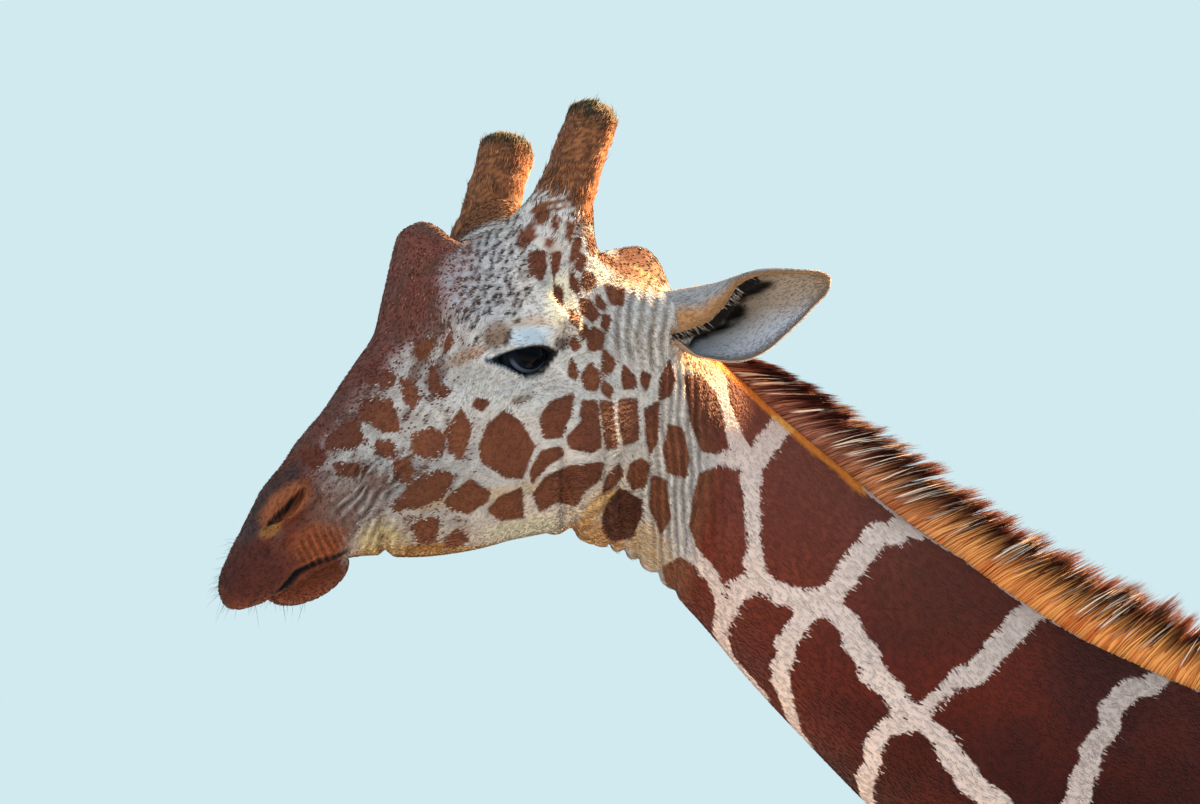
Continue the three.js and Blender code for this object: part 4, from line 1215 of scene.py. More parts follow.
    def at(self, p: Array, chance: Array | None = None) -> dict[str, Array]:
        """The pattern at points of the straight animal.

        Args:
            p: points (n, 3) in mm.
            chance: a draw from 0 to 1 for each point, with which a soft change of colour becomes a choice
                of one colour or the other, as from hair to hair; without it the colours are blended.

        Returns:
            "patch", the way into a dark patch in metres, below 0 on pale ground; "ground" and "dark", the
            two colours; "bare", where black skin shows and where shade is painted black along the
            mouth; "rag", how ragged the patches' edges are; "folds" and "phase", the fine folds' strength and
            the angle of their wave.
        """
        def firm(share: Array, turn: float = 1.0) -> Array:
            """A share, or the choice that the draws make of it.

            Args:
                share: the share at each point.
                turn: a number that tells one choice from another.

            Returns:
                The shares, or choices near 0 and 1.
            """
            if chance is None:
                return share
            return np.clip((share * 1.3 - 0.15 - (chance * turn) % 1.0) * 4 + 0.5, 0, 1)

        near = stack(p[:, 0], np.abs(p[:, 1]), p[:, 2])
        x, _, z = near.T
        u, w = np.moveaxis(pictured(turned(near)), -1, 0)
        on_head = ramp(728, 700, u + np.maximum(0, w - 480) * 0.25) * ramp(3400, 3500, z)
        patch, tone, within = self.patches(p, near, u, w, on_head)
        face = ramp(505, 440, u) * ramp(575, 520, w) * on_head
        rag = 1 - 0.6 * on_head + 1.6 * ramp(478, 430, u) * face
        # the dark red fur of the brow bump and the bridge of the nose, and the muzzle
        hairy = 5 * noise(p, 14, 7) + 7 * noise(p, 45, 8)
        dist, share = to_line(u, w, BRIDGE_LINE)
        spot = catmull(np.array(BRIDGE_LINE, float), share)
        left = np.where((u - spot[:, 0]) + (w - spot[:, 1]) * 0.6 < 0, dist, -dist)
        bridge = firm(ramp(-34, 12, left + 1.4 * hairy) * on_head)
        muzzle = firm(ramp(26, -18, (u - 338) * 0.86 - (w - 520) * 0.36 + 1.2 * hairy) * on_head, 3.1)
        # painted shade: ground and patches darker towards the far, lower part of the neck
        neck_falloff_shade = 1 - 0.22 * ramp(880, 1150, u)
        cloud = 0.94 + 0.10 * noise(p, 22, 25) + 0.07 * noise(p, 9, 26)
        cloud = cloud - 0.22 * ramp(400, 520, w) - 0.10 * face
        ground = blend(rgb(226, 204, 198) * neck_falloff_shade[:, None], on_head, rgb(212, 207, 207) * cloud[:, None])
        warm = ramp(-0.7, 0.7, noise(p, 110, 21) + 0.5 * noise(p, 40, 22))
        # painted light and shade: the neck's patches lighter and greyer near the top, where the sky lights
        # them, and darker towards the bottom
        upper = ramp(720, 430, w) * ramp(1120, 850, u) * within
        shade = (0.86 + 0.28 * tone) * (neck_falloff_shade * 1.3 - 0.3)
        dark = blend(rgb(80, 31, 26), warm, rgb(104, 37, 24)) * shade[:, None]
        dark = blend(dark, 0.85 * upper, rgb(124, 66, 54)) * (1 - 0.3 * within * ramp(680, 800, w))[:, None]
        bright = 0.92 + 0.14 * ramp(0, 14, patch) - 0.26 * ramp(440, 490, w) * ramp(700, 640, u)
        dark = blend(dark, on_head, blend(rgb(108, 62, 48), warm, rgb(126, 76, 54)) * bright[:, None])
        frost = 0.25 if chance is None else ramp(0.66, 0.90, (chance * 11.3) % 1.0)
        frost = frost * (0.55 + 0.45 * ramp(460, 300, w)) * np.ones(len(p))
        frosted = blend(rgb(98, 46, 39), frost, rgb(158, 110, 102))
        for share, colour in ((bridge, frosted), (muzzle, rgb(104, 51, 38))):
            ground, dark = blend(ground, share, colour), blend(dark, share, colour * 0.84)
        # brown hairs among the pale ones of the face, in streaks along it
        streak = stack((z * 0.81 - x * 0.58) * 0.32, x * 0.81 + z * 0.58, p[:, 1])
        mottle = firm(ramp(-0.6, 0.9, noise(streak, 6, 23) + 0.9 * noise(p, 26, 24)) * face * 0.85, 7.3)
        ground = blend(ground, mottle, rgb(100, 68, 60))
        for tint in TINTS:
            r = tipped_oval(u, w, tint.at, tint.half, tint.tilt)
            share = ramp(1.15, 0.6, r + 0.16 * hairy / 12) * tint.share * on_head
            share = firm(share, 1 + abs(tint.tilt) + tint.half[0])
            ground = blend(ground, share, rgb(*tint.colour))
        deepest = ramp(1.1, 0.7, tipped_oval(u, w, (622, 515), (24, 30), 10)) * on_head
        dark = blend(dark, deepest, rgb(72, 38, 28))
        # the horns' brown hair, with painted shade that darkens it towards the root
        axis = HORN_TIP - HORN_ROOT
        high = (near - HORN_ROOT) @ axis / (axis @ axis)
        off = np.linalg.norm(near - HORN_ROOT - high[:, None] * axis, axis=1)
        horn = ramp(0.22, 0.42, high + 0.28 * (p[:, 1] < 0) + 0.10 * noise(p, 22, 61)) * ramp(68, 52, off)
        horn = firm(horn * (x < 1790), 5.3)
        pale = np.full(len(p), 0.5) if chance is None else ((chance * 7.7) % 1.0) ** 1.6
        brown = blend(rgb(88, 52, 38), pale, rgb(164, 106, 68))
        brown = brown * (0.72 + 0.28 * ramp(0.2, 0.5, high))[:, None]
        ground, dark = blend(ground, horn, brown), blend(dark, horn, brown * 0.72)
        # black skin round the eye and in the nostril, and painted shade along the mouth's groove
        bare = bare_skin(near) * (on_head > 0)
        bluish = ramp(1744, 1762, x) * (z > 3800)
        ground = blend(ground, bare, blend(rgb(27, 25, 29), bluish, rgb(56, 68, 82)))
        # specks of the forehead
        spot = self.specked(u, w, on_head)
        dark = blend(dark, ramp(-0.6, 0.6, spot - patch) * (1 - bridge) * on_head, rgb(70, 54, 50))
        patch = np.maximum(patch, spot * on_head + NOT_DARK * (1 - on_head))
        # painted sunlight: a golden strip along the ridge beside the mane, where the sun grazes the crest;
        # and the pale line along its foot
        crest = ramp(9.0, 5.0, to_line(u, w, RIDGE_LINE)[0] + hairy * 0.12) * (z < 3960)
        ground, dark = blend(ground, crest, rgb(244, 176, 88)), blend(dark, crest, rgb(228, 136, 50))
        foot = ramp(2.6, 1.4, to_line(u, w, BASE_LINE)[0])
        patch = np.where(foot > 0.5, NOT_DARK, patch)
        ground = blend(ground, foot * 0.6, rgb(196, 176, 176))
        # painted light on the folds' ridges and painted shade in their furrows, on the ground and the patches
        folds = folds_at(p)
        wave = np.sin(folds["phase"])
        cover = folds["share"] * folds["mix"]
        ground = blend(ground, cover * ramp(0.0, 0.9, wave), folds["ridge"])
        ground = blend(ground, cover * ramp(-0.1, -0.9, wave), folds["furrow_shade"])
        dark = dark * (1 + 0.45 * cover * wave)[:, None]
        patch = np.where(bare > 0.2, NOT_DARK, patch)
        return {"patch": patch / 1000, "ground": ground, "dark": dark, "bare": bare, "rag": rag,
                "folds": folds["share"] * (on_head > 0), "phase": folds["phase"]}


def leg_ring(rings: Sequence[Ring], t: Array) -> tuple[Array, Array, Array, Array, Array]:
    """A leg's measures between its rings.

    Args:
        rings: the leg's rings, from the top.
        t: shares of the way from first to last.

    Returns:
        Centre x, half depth, half width, centre y and height.
    """
    out = []
    for key in ("x", "deep", "wide", "y"):
        q = catmull(np.array([(getattr(r, key), r.z) for r in rings], float), t)
        out.append(q[..., 0])
        if key == "x":
            height = q[..., 1]
    return out[0], out[1], out[2], out[3], height


def ring_share(rings: Sequence[Ring], z: float) -> float:
    """The share of a leg's rings at a height."""
    heights = [-r.z for r in rings]
    return float(np.interp(-z, heights, np.linspace(0, 1, len(rings))))


# ---------------------------------------------------------------- shader words
class Socket:
    """A node's output that Python's operators can work with; each operator adds a Math node."""

    def __init__(self, tree: Any, output: Any) -> None:
        """Wraps an output of a node tree."""
        self.tree = tree
        self.output = output

    def _math(self, operation: str, *values: Any) -> "Socket":
        """A Math node of the given operation on these values or sockets."""
        return add_node(self.tree, "ShaderNodeMath", {"operation": operation}, dict(enumerate(values)))

    def __add__(self, other: Any) -> "Socket":
        """Sum."""
        return self._math("ADD", self, other)

    __radd__ = __add__

    def __sub__(self, other: Any) -> "Socket":
        """Difference."""
        return self._math("SUBTRACT", self, other)

    def __rsub__(self, other: Any) -> "Socket":
        """Reflected difference."""
        return self._math("SUBTRACT", other, self)

    def __mul__(self, other: Any) -> "Socket":
        """Product."""
        return self._math("MULTIPLY", self, other)

    __rmul__ = __mul__

    def ramp(self, low: float, high: float) -> "Socket":
        """A smooth rise from 0 at low to 1 at high."""
        return add_node(self.tree, "ShaderNodeMapRange", {"interpolation_type": "SMOOTHSTEP"},
                        {"Value": self, "From Min": low, "From Max": high})


def add_node(
    tree: Any, kind: str, settings: dict[str, Any], inputs: dict[Any, Any], output: Any = 0
) -> Socket:
    """Adds a node.

    Args:
        tree: the node tree.
        kind: the node's type.
        settings: its own settings, set first.
        inputs: values or sockets for its inputs, by name or number.
        output: the output that is returned, by name or number.

    Returns:
        The chosen output.
    """
    node = tree.nodes.new(kind)
    for key, value in settings.items():
        setattr(node, key, value)
    for key, value in inputs.items():
        if isinstance(value, Socket):
            tree.links.new(value.output, node.inputs[key])
        else:
            node.inputs[key].default_value = value
    return Socket(tree, node.outputs[output])


class Nodes:
    """A material's node tree around one principled shader."""

    def __init__(self, name: str) -> None:
        """Starts an empty material."""
        self.material = bpy.data.materials.new(name)
        self.material.use_nodes = True
        self.tree = self.material.node_tree
        self.tree.nodes.clear()

    def node(self, kind: str, settings: dict[str, Any], inputs: dict[Any, Any], output: Any = 0) -> Socket:
        """Adds a node of this material."""
        return add_node(self.tree, kind, settings, inputs, output)

    def value(self, name: str) -> Socket:
        """A number stored on the piece's points."""
        return self.node("ShaderNodeAttribute", {"attribute_name": name}, {}, "Fac")

    def vector(self, name: str) -> Socket:
        """A vector or colour stored on the piece's points."""
        return self.node("ShaderNodeAttribute", {"attribute_name": name}, {}, "Vector")

    def place(self) -> Socket:
        """Object coordinates."""
        return self.node("ShaderNodeTexCoord", {}, {}, "Object")

    def grain(self, place: Socket, size: float, detail: float = 2.0, stretch: Triple | None = None) -> Socket:
        """Noise over the surface.

        Args:
            place: the coordinates that it is read at.
            size: its size in metres.
            detail: how many finer layers it has.
            stretch: what the coordinates are multiplied by first.

        Returns:
            Values from about -1 to 1.
        """
        if stretch:
            place = self.node("ShaderNodeVectorMath", {"operation": "MULTIPLY"}, {0: place, 1: stretch})
        raw = self.node("ShaderNodeTexNoise", {}, {"Vector": place, "Scale": 1 / size, "Detail": detail}, 0)
        return (raw - 0.5) * 2.6

    def mixed(self, share: Any, a: Any, b: Any) -> Socket:
        """Colour a at share 0 and b at share 1."""
        return self.node("ShaderNodeMix", {"data_type": "RGBA"}, {0: share, 6: a, 7: b}, 2)

    def toned(self, colour: Any, tone: Any, span: Pair, scale: Pair) -> Socket:
        """A colour made darker or lighter.

        Args:
            colour: the colour.
            tone: what decides.
            span: its lowest and highest value.
            scale: what the colour is multiplied by at those.

        Returns:
            The colour made.
        """
        by = self.node("ShaderNodeMapRange", {}, {"Value": tone, "From Min": span[0], "From Max": span[1],
                                                  "To Min": scale[0], "To Max": scale[1]})
        return self.node("ShaderNodeVectorMath", {"operation": "SCALE"}, {0: colour, "Scale": by})

    def shade(
        self, colour: Any, rough: Any, bump: Sequence[tuple[Socket, float]] = (), **constant: Any
    ) -> Any:
        """Closes the material with a principled shader.

        Args:
            colour: base colour.
            rough: roughness.
            bump: pairs of height socket and depth in metres, one after another.
            constant: other sockets' fixed values, by name with _ for a space.

        Returns:
            The material.
        """
        inputs: dict[Any, Any] = {"Base Color": colour, "Roughness": rough}
        normal: Socket | None = None
        for height, depth in bump:
            more = {"Height": height, "Distance": depth, "Strength": 1.0}
            if normal:
                more["Normal"] = normal
            normal = self.node("ShaderNodeBump", {}, more)
        if normal:
            inputs["Normal"] = normal
        inputs.update({key.replace("_", " "): value for key, value in constant.items()})
        shader = self.node("ShaderNodeBsdfPrincipled", {}, inputs)
        out = self.tree.nodes.new("ShaderNodeOutputMaterial")
        self.tree.links.new(shader.output, out.inputs["Surface"])
        return self.material


@dataclass(frozen=True)
class Hide:
    """The spotted hide: dark patches with ragged edges on pale ground, under short hair, with fine folds
    whose ridges carry painted light and whose furrows carry painted shade.
    """

    name: str = "spotted_hide"
    rough: float = 0.75
    bare_gloss: float = 0.35  # how much less rough bare skin is
    edge: float = 0.0018  # metres to either side over which a patch fades

    def make(self) -> Any:
        """Builds the material.

        Returns:
            The material.
        """
        f = Nodes(self.name)
        place, lie = f.place(), f.vector("lie")
        coarse = f.grain(lie, 0.012, 3.0, (1.6, 0.45, 1.0)) * 0.0030
        ragged = coarse + f.grain(lie, 0.0035, 1.0, (2.2, 0.5, 1.0)) * 0.0014
        edge = (f.value("patch") + ragged * f.value("rag")).ramp(-self.edge, self.edge)
        hair = f.grain(lie, 0.0034, 3.0, (2.4, 0.22, 1.0))
        blotch = f.grain(place, 0.07, 3.0)
        colour = f.mixed(edge, f.vector("ground"), f.vector("dark"))
        wave = f.node("ShaderNodeMath", {"operation": "SINE"}, {0: f.value("phase")}) * f.value("folds")
        # the folds' wave paints light on their ridges and shade in their furrows, beside the bump
        colour = f.toned(colour, hair * 0.8 + blotch * 0.7 + wave * 0.8, (-1.6, 1.4), (0.66, 1.20))
        rough = self.rough - f.value("bare") * self.bare_gloss
        return f.shade(colour, rough, [(wave, 0.0015), (hair, 0.0011)],
                       Sheen_Weight=0.03, Sheen_Roughness=0.5, Specular_IOR_Level=0.12)


@dataclass(frozen=True)
class Fur:
    """Short hair that carries its own colour, with darker roots and paler tips."""

    name: str
    rough: float

    def make(self) -> Any:
        """Builds the material.

        Returns:
            The material.
        """
        f = Nodes(self.name)
        colour = f.toned(f.vector("colour"), f.value("tip") * 0.7 + f.value("tone"), (0.0, 1.7), (0.58, 1.36))
        return f.shade(colour, self.rough, Sheen_Weight=0.03, Specular_IOR_Level=0.12)


@dataclass(frozen=True)
class ManeHair:
    """Bristly hair, orange at the root and dark maroon at the tip, duller near the head; the roots' orange is
    partly their own and partly a painted glow of the sun shining through; pairs of colours run from one
    hair's tone to another's."""

    name: str = "mane_hair"
    near: tuple[Triple, Triple] = ((190, 132, 112), (112, 54, 44))
    # the roots' orange, partly their own colour and partly a painted glow of the sun shining through the hair
    light: tuple[Triple, Triple] = ((255, 190, 112), (214, 88, 30))
    tips: tuple[Triple, Triple] = ((80, 30, 25), (36, 12, 12))
    glint: Triple = (250, 226, 206)

    def make(self) -> Any:
        """Builds the material.

        Returns:
            The material.
        """
        f = Nodes(self.name)
        tone, tip = f.value("tone"), f.value("tip")
        back = f.value("where").ramp(0.12, 0.34)
        share = (tip + (tone - 0.5) * 0.34 - back * 0.08).ramp(0.20, 0.74)
        near, light, tips = (f.mixed(tone, srgb(*a), srgb(*b)) for a, b in (self.near, self.light, self.tips))
        colour = f.mixed(share, f.mixed(back, near, light), tips)
        glint = tone.ramp(0.71, 0.75) * tip.ramp(0.30, 0.45) * tip.ramp(0.95, 0.75)
        return f.shade(f.mixed(glint * 0.85, colour, srgb(*self.glint)), 0.6, Specular_IOR_Level=0.06)


@dataclass(frozen=True)
class TailHair:
    """Long black hair."""

    name: str = "tail_hair"
    light: Triple = (34, 26, 24)
    dark: Triple = (16, 13, 13)

    def make(self) -> Any:
        """Builds the material.

        Returns:
            The material.
        """
        f = Nodes(self.name)
        colour = f.mixed(f.value("tone"), srgb(*self.light), srgb(*self.dark))
        return f.shade(colour, 0.42, Specular_IOR_Level=0.5)


@dataclass(frozen=True)
class WetEye:
    """A wet, near black eye with a wide pupil, and a painted blue grey reflection low on the iris."""

    name: str = "eye_wet"
    pupil: Triple = (2, 3, 8)
    iris: Triple = (12, 17, 27)
    # painted reflection: blue grey light low on the eye
    low: Triple = (78, 90, 106)
    white: Triple = (30, 32, 38)

    def make(self) -> Any:
        """Builds the material.

        Returns:
            The material.
        """
        f = Nodes(self.name)
        spread, v = f.value("spread"), f.value("eye_v")
        colour = f.mixed(spread.ramp(0.45, 0.85), srgb(*self.pupil), srgb(*self.iris))
        # where the painted reflection lies, low on the eye
        low = v.ramp(-0.25, -0.60) * spread.ramp(0.78, 0.86) * spread.ramp(1.05, 0.95)
        colour = f.mixed(low * 0.9, colour, srgb(*self.low))
        colour = f.mixed(spread.ramp(1.04, 1.16), colour, srgb(*self.white))
        return f.shade(colour, 0.06, Specular_IOR_Level=0.05)


@dataclass(frozen=True)
class HoofHorn:
    """Worn horn with growth rings."""

    name: str = "hoof_horn"
    dark: Triple = (64, 52, 44)
    light: Triple = (104, 88, 74)

    def make(self) -> Any:
        """Builds the material.

        Returns:
            The material.
        """
        f = Nodes(self.name)
        place = f.place()
        rings = f.grain(place, 0.012, 2.0, (0.08, 0.08, 1.0))
        scuff = f.grain(place, 0.03, 4.0)
        colour = f.mixed(scuff.ramp(-0.6, 0.8), srgb(*self.dark), srgb(*self.light))
        return f.shade(colour, 0.5, [(rings, 0.0015), (scuff, 0.0008)])


@dataclass(frozen=True)
class Paper:
    """The floor's matt paper."""

    name: str = "floor_paper"
    colour: Triple = (214, 216, 216)

    def make(self) -> Any:
        """Builds the material."""
        return Nodes(self.name).shade(srgb(*self.colour), 0.9)


# ---------------------------------------------------------------- skin
@dataclass
class Skin:
    """One skin over head, neck, body, legs and tail."""

    depth_head: float = 3.0
    depth_body: float = 5.0
    head_columns: int = 220
    body_columns: int = 110
    leg_columns: int = 36
    head_rings: int = 284
    neck_rings: int = 92
    body_rings: int = 62
    grids: dict[str, Array] = field(default_factory=dict)
    straight: Array = field(default_factory=lambda: np.zeros((0, 3)))

    def stations(self) -> tuple[Array, Array]:
        """Where the rings lie.

        Returns:
            Stations of the head's fine rings, and of the neck and body's coarser rings.
        """
        fine = np.linspace(0, HEAD_STATIONS, 3601)
        mid = trunk_point(fine, np.full_like(fine, 1.4))
        step = np.linalg.norm(np.diff(mid, axis=0), axis=1)
        x = mid[1:, 0]
        dense = 1.0 + 1.2 * hill(x - 1745, 50) + 0.9 * hill(x - 2030, 50) + 0.8 * hill(x - 1540, 100)
        way = join([[0], np.cumsum(step * dense)])
        head = np.interp(np.linspace(0, way[-1], self.head_rings), way, fine)
        rest = join([np.linspace(HEAD_STATIONS, CHEST_STATION, self.neck_rings)[1:],
                               np.linspace(CHEST_STATION, LAST, self.body_rings)[1:]])
        return head, rest

    def angles(self) -> Array:
        """Where the columns lie.

        Returns:
            Angles round a section, closer together beside the eye.
        """
        v = np.linspace(0, np.pi, 2001)
        dense = 1.0 + 1.3 * hill(v - 1.3, 0.24)
        way = join([[0], np.cumsum((dense[1:] + dense[:-1]) / 2)])
        n = self.head_columns // 2
        half = np.interp((np.arange(n) + 0.5) / n * way[-1], way, v)
        return join([half, 2 * np.pi - half[::-1]])

    def trunk(self, piece: Piece) -> None:
        """Adds the trunk: fine rings on the head, sewn to rings with half as many points behind it.

        Args:
            piece: the piece that it joins.
        """
        s_head, s_rest = self.stations()
        v = self.angles()
        depth = np.interp(s_head, [0, 1.3, 2.4, 3.2, 4.6, 7, 14, 18],
                          [12.0, 11.0, 5.0, -1.0, -1.0, self.depth_head, self.depth_head, self.depth_body])
        s, around = s_head[:, None], v[None]
        head = trunk_point(s, around, ridged(s, around) - depth[:, None])
        head = roots(shape_head(head))
        head = creases(head, grid_normals(head))
        v_rest = v[::2]
        s, around = s_rest[:, None], v_rest[None]
        rest = trunk_point(s, around, ridged(s, around) - self.depth_body)
        self.grids["head"], self.grids["rest"] = head, rest
        n, m = self.head_columns, self.body_columns
        ends = head[0].mean(0)[None], rest[-1].mean(0)[None]
        points = join([head.reshape(-1, 3), rest.reshape(-1, 3), *ends])
        start = len(s_head) * n
        last = (len(s_head) - 1) * n
        j = np.arange(m)
        fine0, fine1, fine2 = last + 2 * j, last + 2 * j + 1, last + (2 * j + 2) % n
        coarse0, coarse1 = start + j, start + (j + 1) % m
        sewn = join([np.stack(q, -1) for q in (
            (fine0, fine1, coarse0), (fine1, coarse1, coarse0), (fine1, fine2, coarse1))])
        end = len(points) - 1
        quads = join([grid_faces(len(s_head), n), grid_faces(len(s_rest), m) + start])
        tris = join([sewn, fan(np.arange(n), end - 1, True), fan(start + (len(s_rest) - 1) * m + j, end)])
        lie = self.lie(join([np.repeat(s_head, n), np.repeat(s_rest, m), [0, LAST]]),
                       join([np.tile(v, len(s_head)), np.tile(v_rest, len(s_rest)), [0, 0]]))
        ways = join([unit(np.gradient(g, axis=0)).reshape(-1, 3) for g in (head, rest)] + [np.zeros((2, 3))])
        piece.add(points, quads[:, ::-1], lie=lie, way=ways)
        piece.faces.append(tris[:, ::-1])

    def lie(self, s: Array, v: Array) -> Array:
        """Coordinates along the hair.

        Args:
            s: stations (n,).
            v: angles from the top (n,).

        Returns:
            The way round the section and along the trunk in metres, and the side (n, 3).
        """
        t = np.linspace(0, LAST, 800)
        mid = trunk_point(t, np.full_like(t, 1.5))
        way = join([[0], np.cumsum(np.linalg.norm(np.diff(mid, axis=0), axis=1))]) / 1000
        size = np.interp(s, np.arange(len(SECTIONS)), [sec.half for sec in SECTIONS]) / 1000
        turn = np.pi - np.abs(v - np.pi)
        return stack(turn * np.maximum(size, 0.05) * 1.7, np.interp(s, t, way), np.sign(np.pi - v) * 0.7)

    def leg(self, limb: Limb, side: Side) -> Array:
        """The rings of one leg: ellipses down the leg, more and more moved forward towards the hoof.

        Args:
            limb: which pair it is of.
            side: which of the pair.

        Returns:
            Points (rows, columns, 3).
        """
        share = join([np.linspace(0, 0.36, 30), np.linspace(0.36, 1, 110)[1:]])
        x, deep, wide, y, z = leg_ring(LEGS[limb], share)
        keep = z > CORONET - 10
        x, deep, wide, y, z = (q[keep] for q in (x, deep, wide, y, z))
        x = x + STRIDES[limb, side] * (1 - np.clip(z / LEG_TOP, 0, 1))
        v = (np.arange(self.leg_columns) + 0.5) / self.leg_columns * 2 * np.pi
        depth = np.interp(z, [130, 600, 1800], [2.0, 3.0, self.depth_body])
        px = x[:, None] + (deep - depth)[:, None] * np.cos(v)
        py = y[:, None] + (wide - depth)[:, None] * np.sin(v)
        return stack(px, side.value * py, np.repeat(z[:, None], len(v), 1))

    def tail(self) -> Array:
        """The rings of the tail: circles along its path.

        Returns:
            Points (rows, columns, 3).
        """
        t = np.linspace(0, 1, 60)
        path = catmull(np.array(TAIL_PATH, float), t)
        heading = unit(np.gradient(path, axis=0))
        radius = along(TAIL_RADII, t) - 3
        v = (np.arange(24) + 0.5) / 24 * 2 * np.pi
        out = stack(heading[:, 1], np.zeros(len(t)), -heading[:, 0])
        centre = stack(path[:, 0], np.zeros(len(t)), path[:, 1])
        across = np.array([0.0, 1.0, 0.0])
        way = np.cos(v)[None, :, None] * across + np.sin(v)[None, :, None] * out[:, None]
        return centre[:, None] + radius[:, None, None] * way

    def build(self, marks: Markings, material: Any) -> Any:
        """Makes the skin: the trunk joined with legs and tail, smoothed where they meet, and marked.

        Args:
            marks: the markings.
            material: the hide.

        Returns:
            The skin's object.
        """
        trunk = Piece("skin")
        self.trunk(trunk)
        marks.lay_net(join([self.grids["head"].reshape(-1, 3), self.grids["rest"].reshape(-1, 3)])[None])
        body = trunk.build()
        others = []
        for k, grid in enumerate([self.leg(limb, side) for limb, side in STRIDES] + [self.tail()]):
            part = Piece(f"limb_{k}")
            run = join([[0], np.cumsum(np.linalg.norm(np.diff(grid[:, 0], axis=0), axis=1))]) / 1000
            turn = np.linspace(-1, 1, grid.shape[1])
            around = np.abs(turn)[None] * 0.16 + np.zeros((len(grid), 1))
            lie = stack(around, run[:, None] + 0 * around, 0 * around + k)
            closed_tube(part, grid, lie=lie, way=unit(np.gradient(grid, axis=0)))
            others.append(part.build())
        for other in others:
            cut = body.modifiers.new("join", "BOOLEAN")
            cut.operation, cut.solver, cut.object = "UNION", "MANIFOLD", other
        depsgraph = bpy.context.evaluated_depsgraph_get()
        joined = bpy.data.meshes.new_from_object(body.evaluated_get(depsgraph))
        for other in others:
            bpy.data.objects.remove(other)
        body.modifiers.clear()
        body.data = joined
        joined.name = "skin"
        joined.polygons.foreach_set("use_smooth", np.ones(len(joined.polygons), bool))
        flat = np.zeros(len(joined.vertices) * 3, np.float32)
        joined.vertices.foreach_get("co", flat)
        straight = self.soften(joined, flat.reshape(-1, 3).astype(float) * 1000 + SHIFT)
        store(joined, marks.at(straight))
        joined.vertices.foreach_set("co", placed(turned(straight)).astype(np.float32).reshape(-1))
        joined.update()
        self.straight = straight
        joined.materials.clear()
        joined.materials.append(material)
        log.info("skin: %d triangles", sum(len(p.vertices) - 2 for p in joined.polygons))
        return body

    def soften(self, mesh: Any, p: Array) -> Array:
        """Rounds the joins of legs and tail: points near a join move to the mean of their neighbours.

        Args:
            mesh: the joined mesh.
            p: its points (n, 3) in mm.

        Returns:
            The points moved.
        """
        edges = np.zeros(len(mesh.edges) * 2, np.int64)
        mesh.edges.foreach_get("vertices", edges)
        a, b = edges.reshape(-1, 2).T
        weight = np.zeros(len(p))
        for rings, z0 in ((FORELEG, 2050.0), (HINDLEG, 2120.0)):
            x, deep, _, y, _ = leg_ring(rings, np.array([ring_share(rings, z0)]))
            for side in Side:
                q = stack((p[:, 0] - x[0]) / (deep[0] + 90), (p[:, 1] - side.value * y[0]) / 260,
                              (p[:, 2] - z0) / 330)
                weight = np.maximum(weight, ramp(1.15, 0.75, np.linalg.norm(q, axis=1)))
        weight = np.maximum(weight, ramp(110, 60, np.linalg.norm(p - np.array([-1395.0, 0, 2330.0]), axis=1)))
        degree = np.bincount(a, minlength=len(p)) + np.bincount(b, minlength=len(p))
        for _ in range(26):
            total = stack(*(np.bincount(a, p[b, k], len(p)) + np.bincount(b, p[a, k], len(p))
                            for k in range(3)))
            p = p + (total / np.maximum(degree, 1)[:, None] - p) * (0.8 * weight)[:, None]
        return p


# ---------------------------------------------------------------- hair as solid blades
def strands(
    piece: Piece, path: Array, flat: Array, width: Array, thick: float, bake: Array, **values: Array
) -> None:
    """Adds closed three-sided blades, each tapered to a tip point.

    A blade's ring k has its corners at half the width to either side along flat, and one corner raised by
    the width times thick; the last point of the path is the tip.

    Args:
        piece: the piece that they join.
        path: points along each blade, root to tip (n, rows, 3).
        flat: the way each blade is wide (n, 3).
        width: half widths at every point but the tip (n, rows - 1).
        thick: thickness over width.
        bake: each blade's place on the unwrap (n, 2).
        values: a value or vector of each blade (n,) or (n, k).
    """
    n, rows = path.shape[:2]
    run = unit(np.gradient(path, axis=1))[:, :-1]
    side = unit(flat[:, None] - (flat[:, None] * run).sum(-1, keepdims=True) * run)
    rise = np.cross(run, side)
    w = width[..., None]
    rings = np.stack([path[:, :-1] + side * w - rise * w * thick * 0.5, path[:, :-1] + rise * w * thick,
                      path[:, :-1] - side * w - rise * w * thick * 0.5], 2)
    points = join([rings.reshape(n, -1, 3), path[:, -1:]], 1)
    m = points.shape[1]
    k = (np.arange(rows - 2)[:, None] * 3).reshape(-1, 1)
    j = np.arange(3)[None]
    quads = stack(k + j, k + (j + 1) % 3, k + 3 + (j + 1) % 3, k + 3 + j).reshape(-1, 4)
    last = (rows - 2) * 3
    tris = join([stack(last + j[0], last + (j[0] + 1) % 3, np.full(3, m - 1)), [[2, 1, 0]]])
    start = (np.arange(n) * m)[:, None, None]
    share = join([np.repeat(np.arange(rows - 1), 3) / (rows - 1), [1.0]])
    corner = join([np.tile([-1.0, 0.0, 1.0], rows - 1), [0.0]])
    patch = stack(corner * 0.0012, share * 0.0024 - 0.0012)
    full = {key: np.repeat(value, m, axis=0) for key, value in values.items()}
    full["tip"] = np.tile(share, n)
    full["OFBake"] = (bake[:, None] + patch[None]).reshape(-1, 2)
    first = piece.count
    if rows > 2:
        piece.add(points.reshape(-1, 3), (start + quads[None]).reshape(-1, 4), **full)
        piece.faces.append((start + tris[None]).reshape(-1, 3) + first)
    else:
        piece.add(points.reshape(-1, 3), (start + tris[None]).reshape(-1, 3), **full)


